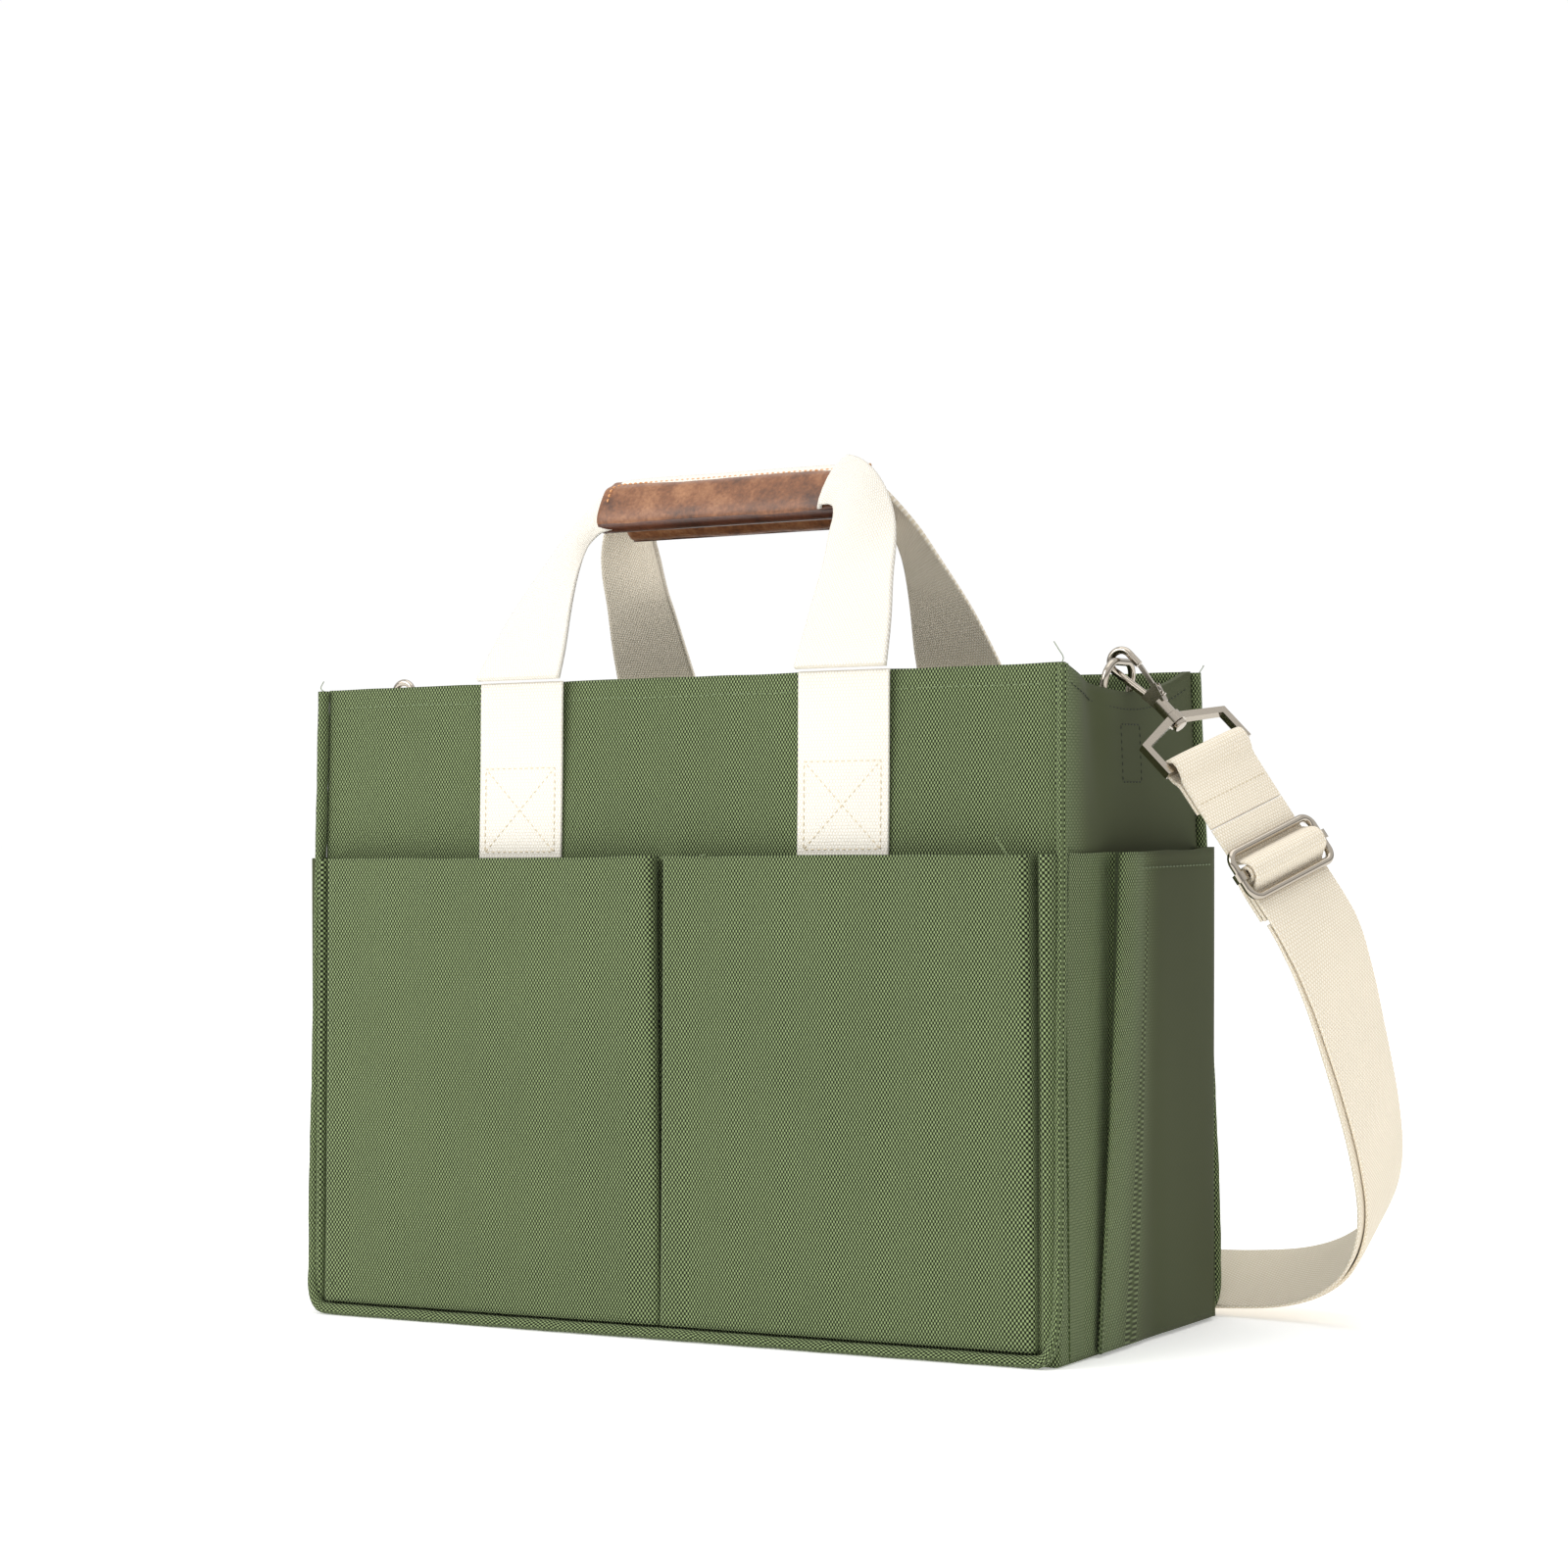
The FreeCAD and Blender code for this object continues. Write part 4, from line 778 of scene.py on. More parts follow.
@dataclass
class PocketBand:
    """A pair of patch pockets across the front or back, with pleats between and beside them."""

    palette: Palette
    shell: BagShell
    wall: Wall
    height: float = 179.0
    foot: float = 2.6
    mouth: float = 8.6
    low: float = 5.6

    def depth(self, rows: Array) -> Array:
        """How deep the pocket is at a share of its height."""
        return self.foot + (self.mouth - self.foot) * rows ** 1.15

    def belly(self, x: Array, rows: Array) -> Array:
        """How far a filled pocket's face bulges: a sine up it times a sine across it."""
        return (1.3 * np.sin(math.pi * rows)
                * np.sin(math.pi * np.clip((x - 3) / 150, 0, 1)))

    def place(self, x: Array, rise: Array, out: Array) -> Array:
        """Points on the leaning wall from an X, a height and a distance out of the wall."""
        y = self.wall.value * (self.shell.half_depth(rise) + out)
        return np.stack([x, y, rise], -1)

    def section(self, hand: Hand) -> Array:
        """One pocket's cross-section from the seam to the middle pleat, as X and share of depth.

        The cloth leaves the seam flat, tucks under itself in a small pleat, rounds out to the
        face and turns back under at the middle.
        """
        edge = 161.6
        strip = 4.6 if hand is Hand.RIGHT else 3.6
        near = edge - strip - 5.0
        knots = [(edge, 0.10), (edge - 0.7, 0.38), (edge - 1.8, 0.58), (near + 6.2, 0.66),
                 (near + 5.2, 0.58), (near + 4.8, 0.32), (near + 4.2, 0.08), (near + 1.2, 0.05),
                 (near + 0.5, 0.34), (near + 0.3, 0.66), (near - 0.2, 0.92), (near - 1.8, 1.0),
                 (near - 8, 1.015), (near - 30, 1.03),
                 (80, 1.05), (40, 1.03), (14, 1.0), (5.6, 1.0), (3.7, 0.90), (3.4, 0.60),
                 (4.6, 0.36), (9, 0.22), (16, 0.12), (20, 0.06)]
        return through([(x, s * 9) for x, s in knots], 230) / np.array([1, 9])

    def build(self) -> None:
        """Makes both pockets of this wall, their hems and their stitches."""
        word = self.wall.word
        for hand in Hand:
            section = self.section(hand)
            rows = np.linspace(0, 1, 70)[:, None]
            rise = self.low + rows * (self.height - self.low)
            across, share = section.T
            # The middle pleat closes towards the foot, and the outer one opens a little.
            middle_fold = np.clip((14 - across) / 14, 0, 1)
            side_fold = np.clip(1 - np.abs(across - 152) / 9, 0, 1)
            x = across + (1 - rows) * (side_fold * 2.2 - middle_fold * 0.9 * 3.3)
            ripple = 0.28 * noise(across / 17 + hand.value, 7) * rows
            out = (self.depth(rows) * share + 0.2 + ripple * (share > 0.95)
                   + self.belly(across, rows) * share ** 2)
            uneven = rise + 0.35 * noise(across / 25, 11 + hand.value) * rows ** 4
            points = self.place(hand.value * x, uneven, out)
            along = running_length(section * np.array([1, 9]))[None] + 0 * rise
            uv = np.stack([along, rise + 0 * x], -1)
            if hand.value * self.wall.value > 0:
                points, uv = points[:, ::-1], uv[:, ::-1]
            piece = cloth_grid("pocket_%s_%s" % (word, hand.word), points, uv, 1.1)
            shown_as(piece, self.palette.canvas, "bag", "canvas",
                     "%s_pocket_%s" % (word, hand.word))
            self.stitches(hand)

    def face_out(self, x: Array, rise: Array) -> Array:
        """How far the pocket's face stands out of the wall at an X and a height."""
        rows = (rise - 4.0) / (self.height - 4.0)
        return self.depth(rows) * 1.03 + 0.2 + self.belly(x, rows)

    def stitches(self, hand: Hand) -> None:
        """The hem stitches under the mouth and the seam stitches along the foot."""
        word = "%s_%s" % (self.wall.word, hand.word)
        far = 151 if hand is Hand.RIGHT else 152
        x = np.linspace(4.0, far, 160)
        for name, level, wobble in (("mouth", self.height - 6.4, 0.15), ("foot", 10.5, 0.5)):
            rise = level + wobble * noise(x / 7, 21)
            line = self.place(hand.value * x, rise, self.face_out(x, rise) - 0.25)
            out = repeated(self.wall.out, line)
            row = stitch_row("pocket_%s_stitches_%s" % (name, word), line, out, 0.3, 3.0, 0.6)
            shown_as(row, self.palette.green_thread, "bag", "canvas")


@dataclass
class SidePocket:
    """A bellows pocket on one side: the cloth zigzags out of both edges to a fuller face."""

    palette: Palette
    shell: BagShell
    hand: Hand
    height: float = 179.0
    foot: float = 2.4
    mouth: float = 10.2

    def section(self) -> Array:
        """The cross-section, as Y and share of depth, from the front seam to the back one."""
        knots = [(-59, 0.06), (-50, 0.08), (-36, 0.10), (-28, 0.16), (-25.5, 0.34), (-29, 0.6),
                 (-31.5, 0.82), (-29.5, 1.0), (-22, 1.08), (-12, 1.03), (0, 0.98), (20, 0.96),
                 (38, 0.98), (48, 0.98), (52.5, 0.86), (53.5, 0.66), (51, 0.48), (50, 0.3),
                 (53, 0.14), (59, 0.06)]
        line = np.array(knots) * [1, 10]
        if self.hand is Hand.LEFT:
            line = (line * [-1, 1])[::-1]
        return through(line, 220) / np.array([1, 10])

    def build(self) -> None:
        """Makes the pocket and its stitches."""
        word = self.hand.word
        section = self.section()
        rows = np.linspace(0, 1, 70)[:, None]
        rise = 1.5 + rows * (self.height - 1.5)
        depth = self.foot + (self.mouth - self.foot) * rows
        if self.hand is Hand.LEFT:
            depth = depth + 2.4 + 2.0 * (1 - rows)
        turned = section[None, :, 0] * (1 if self.hand is Hand.RIGHT else -1)
        spread = (9 * (1 - rows) * np.clip((turned - 40) / 10, 0, 1)
                  - 9 * (1 - rows) * (turned < -10) * np.clip((turned + 60) / 20, 0, 1))
        y = section[None, :, 0] + spread * (1 if self.hand is Hand.RIGHT else -1)
        limit = self.shell.half_depth(rise) - 3.0
        y = np.clip(y, -limit, limit)
        belly = 1.4 * (1 - (y / 62) ** 2) * np.sin(math.pi * rise / self.shell.height)
        out = depth * section[None, :, 1] + 0.35 + belly
        crease = 0.7 * np.exp(-((y - 6 + 20 * rows) / 9) ** 2) * (section[None, :, 1] > 0.9)
        x = self.hand.value * (self.shell.width / 2 + out - crease)
        points = np.stack([x, y, rise + 0.6 * noise(section[:, 0] / 22, 5)[None] * rows ** 5], -1)
        along = running_length(section * np.array([1, 10]))[None] + 0 * rise
        uv = np.stack([along, rise + 0 * y], -1)
        if self.hand is Hand.LEFT:
            points, uv = points[:, ::-1], uv[:, ::-1]
        piece = cloth_grid("side_pocket_%s_cloth" % word, points, uv, 1.1)
        shown_as(piece, self.palette.canvas, "bag", "canvas", "side_pocket_%s" % word)
        # The pocket's face back from its front bellows takes the same mark: smoothed weave and
        # the darker tone, painted shade of the side turned away from the key.
        flat = np.broadcast_to(ease(turned, -24, 2), y.shape)
        pressed_and_shaded_on(piece, flat[:, ::-1] if self.hand is Hand.LEFT else flat)
        line_y = np.linspace(-24, 46, 90)
        level = self.height - 6.0
        share = (level - 1.5) / (self.height - 1.5)
        swell = 1.4 * (1 - (line_y / 62) ** 2) * math.sin(math.pi * level / self.shell.height)
        stand = (self.foot + (self.mouth - self.foot) * share) + 0.4 + swell
        if self.hand is Hand.LEFT:
            line_y, stand = -line_y, stand + 2.4
        line = np.stack([self.hand.value * (self.shell.width / 2 + stand), line_y,
                         np.full_like(line_y, level)], 1)
        out_dir = repeated(self.hand.out, line)
        row = stitch_row("side_pocket_stitches_%s" % word, line, out_dir, 0.3, 3.0, 0.6)
        shown_as(row, self.palette.green_thread, "bag", "canvas")


# ------------------------------------------------------------------ handles


@dataclass
class Handle:
    """One carrying handle: two sewn legs, an arch of webbing and a wrapped leather grip."""

    palette: Palette
    shell: BagShell
    wall: Wall
    spacing: float = 142.0
    webbing: float = 38.0
    thickness: float = 1.8
    lean: float = 32.0
    axis_y: float = 59.3
    axis_z: float = 246.5
    reach: float = 81.0
    lap: float = 96.0
    grip_length: float = 115.0
    grip_rise: float = 11.4
    grip_thick: float = 4.9
    box: Tuple[float, float, float] = (16.0, 181.0, 213.0)

    @property
    def shift(self) -> float:
        """How far the handle's middle sits to the right of the bag's middle."""
        low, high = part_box("%s_grip" % self.wall.word)
        return (low.x + high.x) / 2 / MM

    def upright(self, across: Array, rise: Array, out: Array) -> Array:
        """Points in the handle's leaning plane: across it, up it and out of it."""
        across = across + self.shift
        tilt = math.radians(self.lean)
        y = self.axis_y - rise * math.sin(tilt) + out * math.cos(tilt)
        z = self.axis_z + rise * math.cos(tilt) + out * math.sin(tilt)
        return np.stack([across, self.wall.value * y, z], -1)

    def build(self) -> None:
        """Makes the legs, the arch and the grip."""
        word = self.wall.word
        body = "%s_handle" % word
        for hand in Hand:
            self.leg(hand)
        self.arch(body)
        self.grip(body)

    def leg(self, hand: Hand) -> None:
        """A leg sewn to the panel, with its box of stitches."""
        word = "%s_%s" % (self.wall.word, hand.word)
        z = np.linspace(self.shell.height - self.lap, self.shell.height + 0.1, 90)
        mid = hand.value * self.spacing / 2 + self.shift
        y = self.wall.value * (self.shell.half_depth(z) + 0.95 + 0.5 * ease(z, 200, 246))
        path = np.stack([np.full_like(z, mid), y, z], 1)
        side = repeated((1, 0, 0), path)
        up = repeated(self.wall.out, path)
        leg = carried("handle_leg_%s" % word, path, side, up,
                      strip_section(self.webbing, self.thickness))
        shown_as(leg, self.palette.webbing, "bag", "webbing",
                 "%s_leg_%s" % (self.wall.word, hand.word))
        w, low, high = self.box
        corners = [(-w, low), (w, low), (w, high), (-w, high), (-w, low), (w, high), (-w, high),
                   (w, low)]
        line = np.vstack([np.linspace(a, b, 30) for a, b in zip(corners, corners[1:])])
        rise = line[:, 1]
        box = np.stack([mid + line[:, 0], self.wall.value * (self.shell.half_depth(rise) + 1.92),
                        rise], 1)
        out = repeated(self.wall.out, box)
        row = stitch_row("leg_stitches_%s" % word, box, out, 0.28, 2.6, 0.6)
        shown_as(row, self.palette.cream_thread, "bag", "webbing")

    def arch(self, body: str) -> None:
        """The webbing above the rim.

        Its surface is ruled between an outer and an inner edge curve, and lifted out of the
        plane by a parabola across the width that grows towards the grip, where the webbing
        folds to half its width.
        """
        # Each leg draws in its own way: one turns under its inner edge, one under its outer.
        turned = ([(90, 0.2), (88, 12), (84.6, 28), (81, 40), (76, 54), (71, 67), (63.5, 81),
                   (57.5, 89), (48, 92.2), (0, 92.4)],
                  [(52, 0.2), (54, 14), (56.8, 28), (59, 40), (60.6, 52), (60.6, 62), (57, 68),
                   (50, 70.4), (34, 70.8), (0, 70.8)])
        upright = ([(90, 0.2), (86.4, 20), (81.8, 40), (79, 55), (76, 66), (70, 77), (62, 86),
                    (54, 91), (44, 92.4), (0, 92.4)],
                   [(52, 0.2), (51.6, 20), (51.2, 40), (52.6, 55), (53.6, 64), (51.6, 69.6),
                    (46, 70.8), (34, 70.8), (0, 70.8)])
        first, last = (upright, turned) if self.wall is Wall.FRONT else (turned, upright)
        outer, inner = (np.vstack([through(right, 110), (through(left, 110) * [-1, 1])[-2::-1]])
                        for right, left in zip(first, last))
        share = np.linspace(0, 1, 26)
        flat = (inner[:, None] * (1 - share[None, :, None])
                + outer[:, None] * share[None, :, None])
        rise = flat[..., 1]
        fold = ease(rise[:, :1], 30, 76)
        across = 2 * share[None] - 1
        lift = 0.5 + fold * 3.2 * (1 - across ** 2) - 0.6 * fold
        along = np.broadcast_to(running_length(outer)[:, None], rise.shape)
        crumple = 0.5 * noise(along / 5 + across * 2, 13) * ease(rise, 52, 74) * (1 - share[None])
        # On one side the webbing comes out over the end of the leather, not from inside it.
        slant = flat[..., 0] * self.wall.value * -1 - 0.25 * (rise - 81)
        lift = lift + 6.4 * ease(slant, 44, 49) * (1 - ease(slant, 62, 92)) * ease(rise, 40, 68)
        points = self.upright(flat[..., 0], rise, lift + crumple)
        uv = np.stack([np.broadcast_to(share[None] * self.webbing, rise.shape), along], -1)
        if self.wall is Wall.FRONT:
            points, uv = points[:, ::-1], uv[:, ::-1]
        piece = cloth_grid("%s_webbing_arch" % body, points, uv, self.thickness)
        # Painted light: the back arch, seen from inside in shade, takes the warmer strap webbing
        # as painted warm bounce light.
        cloth = self.palette.webbing if self.wall is Wall.FRONT else self.palette.strap_webbing
        shown_as(piece, cloth, body, "webbing", "%s_webbing" % body)

    def taper(self, rise: Array) -> Array:
        """Share of the grip's thickness left at a height: it thins where the flaps meet."""
        return 1 - 0.62 * ease(rise, 4.5, 11.0)

    def grip(self, body: str) -> None:
        """The leather wrap: a flattened tube whose flaps meet at the top, sewn under the edge."""
        half = self.grip_length / 2
        x = np.concatenate([[-half, -half + 0.5], np.linspace(-half + 1.4, half - 1.4, 90),
                            [half - 0.5, half]])
        turn = np.linspace(0, 2 * math.pi, 64, endpoint=False)
        # The profile is a tall rounded box: thick low down, thin where the two flaps meet.
        rise = self.grip_rise * np.sign(np.sin(turn)) * np.abs(np.sin(turn)) ** 0.82
        thick = self.grip_thick * np.sign(np.cos(turn)) * np.abs(np.cos(turn)) ** 0.62
        section = np.stack([rise, thick * self.taper(rise)], 1)
        ends = np.ones(len(x))
        ends[[0, -1]] = 0.90
        ends[[1, -2]] = 0.97
        swell = 1 + 0.03 * noise(x / 14, 2 + self.wall.value)
        sections = section[None] * (ends * swell)[:, None, None]
        path = self.upright(x, np.full_like(x, self.reach), np.full_like(x, 0.9))
        tilt = math.radians(self.lean)
        up = np.array([0, -self.wall.value * math.sin(tilt), math.cos(tilt)])
        out = np.array([0, self.wall.value * math.cos(tilt), math.sin(tilt)])
        piece = carried("%s_leather_wrap" % body, path, repeated(up, path), repeated(out, path),
                        sections)
        shown_as(piece, self.palette.leather, body, "leather", "%s_grip" % self.wall.word)
        self.grip_edges(body, up, out)

    def grip_edges(self, body: str, up: Array, out: Array) -> None:
        """The back flap's raw edge over the front flap, the darker lower fold, which is painted
        shade under the grip, and the stitches.

        Args:
            body: The body that the grip rides on.
            up: Direction up the leaning grip.
            out: Direction out of it.
        """
        half = self.grip_length / 2
        x = np.linspace(-half + 30, half - 0.6, 60)
        lift = 11.2 + 0.9 * ease(x, -half + 30, -half + 52)
        path = self.upright(x, self.reach + lift, np.full_like(x, -0.4))
        turn = np.linspace(0, 2 * math.pi, 12, endpoint=False)
        oval = np.stack([0.9 * np.cos(turn), 0.95 * np.sin(turn)], 1)
        edge = carried("%s_raw_edge" % body, path, repeated(up, path),
                       repeated(out, path), oval)
        shown_as(edge, self.palette.raw_edge, body, "leather")
        # Painted shade: a dark brown tube along the grip's lower fold, under the grip.
        x = np.linspace(-half + 1.0, half - 1.0, 70)
        path = self.upright(x, np.full_like(x, self.reach - 10.6), np.full_like(x, 0.9))
        fold = np.stack([1.2 * np.cos(turn), 2.9 * np.sin(turn)], 1)
        dark = carried("%s_dark_fold" % body, path, repeated(up, path),
                       repeated(out, path), fold)
        shown_as(dark, self.palette.shaded_fold_leather, body, "leather")
        for face, word in ((1, "outer"), (-1, "inner")):
            knots = [(-half + 3.6, -2.0), (-half + 3.4, 4.0), (-half + 4.6, 7.4),
                     (-half + 9, 8.9), (-20, 9.1), (20, 9.1), (half - 6, 8.9)]
            flat = through(knots, 150)
            sine = np.clip(np.abs(flat[:, 1]) / self.grip_rise, 0, 0.999) ** (1 / 0.82)
            thick = (self.grip_thick * (1 - sine ** 2) ** 0.31 * self.taper(flat[:, 1])
                     + 0.12)
            line = self.upright(flat[:, 0], self.reach + flat[:, 1], 0.9 + face * thick)
            normals = np.broadcast_to(out * face, line.shape)
            row = stitch_row("%s_stitches_%s" % (body, word), line, normals, 0.46, 2.4, 0.7)
            shown_as(row, self.palette.tan_thread, body, "leather")


# ------------------------------------------------------------------ shoulder strap


# Route of the strap's outer layer from the slider to the left ring: X, Y and Z, then the yaw
# and tilt of the webbing's width, in millimetres and degrees.
STRAP_ROUTE = [
    (226.4, 6.8, 159.2, 20.4, 18.6), (232.6, 8.1, 149, 20.4, 18.6), (236, 17, 131, 14, 20),
    (236.5, 34, 104, 8, 22), (236, 52, 76, 4, 25), (232, 69, 49, 1, 28),
    (219, 82, 27.5, 0, 30), (195, 90, 14.5, 0, 29), (160, 92.5, 10.9, 0, 27),
    (115, 93, 10.5, 0, 27), (60, 94, 10.3, 0, 27), (5, 93.2, 10.5, 0, 27),
    (-50, 94.2, 10.3, 0, 27), (-96, 93.4, 10.6, 0, 27), (-138, 92.8, 11.3, 0, 27),
    (-172, 90, 15.5, 0, 26), (-196, 79, 31, 0, 24), (-208, 62, 56, 0, 20),
    (-212, 44, 86, 0, 15), (-209, 26, 116, 0, 10), (-202.5, 10, 147, 0, 4),
    (-194.2, 0, 172.6, 0, 0), (-186.7, 0, 193.2, 0, 0),
]


def nurbs_line(points: Array, count: int) -> Array:
    """Evenly spaced points on the NURBS curve that these control points make.

    Args:
        points: Control points, in millimetres.
        count: Number of points wanted.

    Returns:
        The points, in millimetres.
    """
    data = bpy.data.curves.new("strap line", "CURVE")
    data.dimensions = "3D"
    spline = data.splines.new("NURBS")
    spline.points.add(len(points) - 1)
    packed = np.hstack([points * MM, np.ones((len(points), 1))])
    spline.points.foreach_set("co", packed.ravel())
    spline.order_u = 3
    spline.use_endpoint_u = True
    spline.resolution_u = 24
    line = bpy.data.objects.new("strap line", data)
    bpy.context.scene.collection.objects.link(line)
    bpy.context.view_layer.update()
    mesh = bpy.data.meshes.new_from_object(line)
    raw = np.empty(len(mesh.vertices) * 3)
    mesh.vertices.foreach_get("co", raw)
    bpy.data.objects.remove(line)
    bpy.data.curves.remove(data)
    bpy.data.meshes.remove(mesh)
    return respaced(raw.reshape(-1, 3) / MM, count)


@dataclass
class HookFrame:
    """A hook's own axes: origin in its bow, Z away from the strap, X towards the gate."""

    origin: Array
    x: Array
    y: Array
    z: Array

    def at(self, x: Any, y: Any, z: Any) -> Array:
        """A point given along the frame's axes."""
        x, y, z = np.broadcast_arrays(np.asarray(x, float), y, z)
        return self.origin + x[..., None] * self.x + y[..., None] * self.y + z[..., None] * self.z

    def turned(self, degrees: float) -> "HookFrame":
        """The frame turned about its own Z."""
        a = math.radians(degrees)
        x = math.cos(a) * self.x + math.sin(a) * self.y
        y = -math.sin(a) * self.x + math.cos(a) * self.y
        return HookFrame(self.origin, x, y, self.z)

    def bent(self, degrees: float, pivot: float) -> "HookFrame":
        """The frame turned about its own Y, through the point at this Z."""
        a = math.radians(degrees)
        x = math.cos(a) * self.x - math.sin(a) * self.z
        z = math.sin(a) * self.x + math.cos(a) * self.z
        return HookFrame(self.origin + self.z * pivot - z * pivot, x, self.y, z)


def hook_frame(hand: Hand) -> HookFrame:
    """The frame of one hook, from the D-ring's place and tilt and the hook's angle."""
    bar_x, bar_z, tilt, angle = ((156.3, 235.2, 12.0, 46.0) if hand is Hand.RIGHT
                                 else (156.3, 238.0, 50.0, 70.0))
    t, a = math.radians(tilt), math.radians(angle)
    sign = float(hand.value)
    origin = np.array([sign * (bar_x + 13 * math.sin(t)), 0, bar_z + 13 * math.cos(t)])
    z = np.array([-sign * math.cos(a), 0, math.sin(a)])
    x = np.array([sign * math.sin(a), 0, math.cos(a)])
    return HookFrame(origin, x, np.array([0, sign, 0]), z)


@dataclass
class Strap:
    """The shoulder strap: outer and return layers, the sewn loop and the folded ends."""

    palette: Palette
    width: float = 38.0
    thickness: float = 1.8
    gap: float = 0.3
    ring_turn: float = -27.3
    loop_tilt: float = 14.0
    ring_bar: float = -47.6
    slider_place: float = -93.5
    slider_plane: float = 3.6

    def layer(self, offset: float, count: int = 700) -> Tuple[Array, Array, Array]:
        """One layer along the route.

        The width direction is turned by the yaw and tilt given along the route, and made
        square to the line; the layer is moved off the line along its outer side.

        Args:
            offset: Distance off the route towards the outer side.
            count: Number of stations.

        Returns:
            Points, width directions and outward directions.
        """
        rows = np.array(STRAP_ROUTE)
        line = nurbs_line(rows[:, :3], count)
        share = running_length(line) / running_length(line)[-1]
        knots = running_length(rows[:, :3])
        knots = knots / knots[-1]
        yaw = np.radians(np.interp(share, knots, rows[:, 3]))
        tilt = np.radians(np.interp(share, knots, rows[:, 4]))
        across = np.stack([np.cos(tilt) * np.sin(yaw), np.cos(tilt) * np.cos(yaw),
                           np.sin(tilt)], 1)
        tangent = unit(np.gradient(line, axis=0))
        across = unit(across - tangent * (across * tangent).sum(1)[:, None])
        out = unit(np.cross(tangent, across))
        return line + out * offset, across, out

    def build(self) -> None:
        """Makes every stretch of the strap."""
        end = hook_frame(Hand.RIGHT).turned(self.ring_turn).bent(self.loop_tilt, self.ring_bar)
        self.outer(end)
        self.inner()
        self.end_loop(end)
        self.left_fold(hook_frame(Hand.LEFT))
        self.slider_fold(end)

    def free_layer(self, name: str, path: Array, side: Array, up: Array, *nodes: str) -> None:
        """Args:
            name: Piece name.
            path: Points along the layer, in millimetres.
            side: Direction of the webbing's width at each point.
            up: Direction of its thickness at each point.
            *nodes: The nodes that it stands for.
        """
        piece = carried(name, path, side, up, strip_section(self.width, self.thickness))
        shown_as(piece, self.palette.strap_webbing, "bag", "webbing", *nodes)

    def outer(self, end: HookFrame) -> None:
        """The layer from the ring's loop over the slider's bar and round to the left ring."""
        place = self.slider_place
        head = through([(0.9, -73.6), (0.9, -78), (1.0, place + 7.2), (2.4, place + 5.4),
                        (6.6, place + 3.4), (8.2, place + 1.4), (8.3, place - 0.6),
                        (7.2, place - 3.2), (2.6, place - 5.6), (1.0, place - 7.4),
                        (0.9, place - 12), (0.9, -111.9)], 120)
        first = end.at(head[:, 0], 0.0, head[:, 1])
        side_first = np.broadcast_to(end.y, first.shape)
        rest, across, _ = self.layer(0.0)
        path = np.vstack([first, rest[2:]])
        side = np.vstack([side_first, across[2:]])
        tangent = unit(np.gradient(path, axis=0))
        side = unit(side - tangent * (side * tangent).sum(1)[:, None])
        up = unit(np.cross(tangent, side))
        self.free_layer("strap_outer_layer", path, side, up, "strap_outer", "strap_upper")

    def inner(self) -> None:
        """The return layer, from the left ring back to the slider's bar."""
        path, side, up = self.layer(-(self.thickness + self.gap))
        # It lies a little to the inner side of the outer layer between the slider and the floor.
        share = np.linspace(0, 1, len(path))
        path = path - side * (3.2 * np.sin(math.pi * np.clip(share / 0.42, 0, 1)))[:, None]
        self.free_layer("strap_return_layer", path, side, up, "strap_return")

    def folded(self, name: str, at: HookFrame, line: Array) -> bpy.types.Object:
        """A strip of webbing that follows a line in the frame's X and Z, its width along Y."""
        path = at.at(line[:, 0], 0.0, line[:, 1])
        tangent = unit(np.gradient(path, axis=0))
        side = repeated(at.y, path)
        up = unit(np.cross(tangent, side))
        return carried(name, path, side, up, strip_section(self.width, self.thickness))

    def end_loop(self, end: HookFrame) -> None:
        """The sewn loop round the right ring, doubled below it."""
        bar = self.ring_bar
        knots = [(-1.05, -66), (-1.1, -60), (-1.3, bar - 6.5), (-2.7, bar - 3.4),
                 (-3.25, bar), (-2.4, bar + 2.5), (0, bar + 3.3), (2.4, bar + 2.5),
                 (3.25, bar), (2.7, bar - 3.4), (1.3, bar - 6.5), (1.0, -60), (0.9, -73.2)]
        loop = self.folded("strap_sewn_loop", end, through(knots, 120))
        shown_as(loop, self.palette.strap_webbing, "strap_ring_body_right", "webbing",
                 "strap_end_loop")
        y = np.linspace(-17.6, 17.6, 40)
        line = end.at(np.full_like(y, 1.9), y, np.full_like(y, -63.4))
        row = stitch_row("loop_stitches", line, np.broadcast_to(end.x, line.shape), 0.3, 2.2,
                         0.65)
        shown_as(row, self.palette.cream_thread, "strap_ring_body_right", "webbing")

    def left_fold(self, left: HookFrame) -> None:
        """The turn of the strap round the left ring."""
        bar = self.ring_bar
        knots = [(-1.05, -56.7), (-1.5, bar - 6.3), (-2.7, bar - 3.4), (-3.25, bar),
                 (-2.4, bar + 2.5), (0, bar + 3.3), (2.4, bar + 2.5), (3.25, bar),
                 (2.7, bar - 3.4), (1.5, bar - 6.3), (1.05, -56.7)]
        fold = self.folded("strap_left_turn", left, through(knots, 90))
        shown_as(fold, self.palette.strap_webbing, "strap_ring_body_left", "webbing",
                 "strap_left_fold")

    def slider_fold(self, end: HookFrame) -> None:
        """The return layer's end, sewn round the slider's cross bar."""
        place = self.slider_place
        plane = self.slider_plane
        knots = [(-1.2, -110.6), (-1.2, place - 9), (-0.9, place - 4.4), (1.4, place - 2.2),
                 (plane + 0.9, place - 2.3), (plane + 2.25, place - 0.6),
                 (plane + 1.8, place + 1.6), (plane - 0.2, place + 2.3), (-0.6, place + 1.4),
                 (-2.6, place - 2.2), (-3.0, place - 8), (-3.0, -110.0)]
        fold = self.folded("strap_slider_turn", end, through(knots, 130))
        shown_as(fold, self.palette.strap_webbing, "slider", "webbing", "strap_slider_fold")


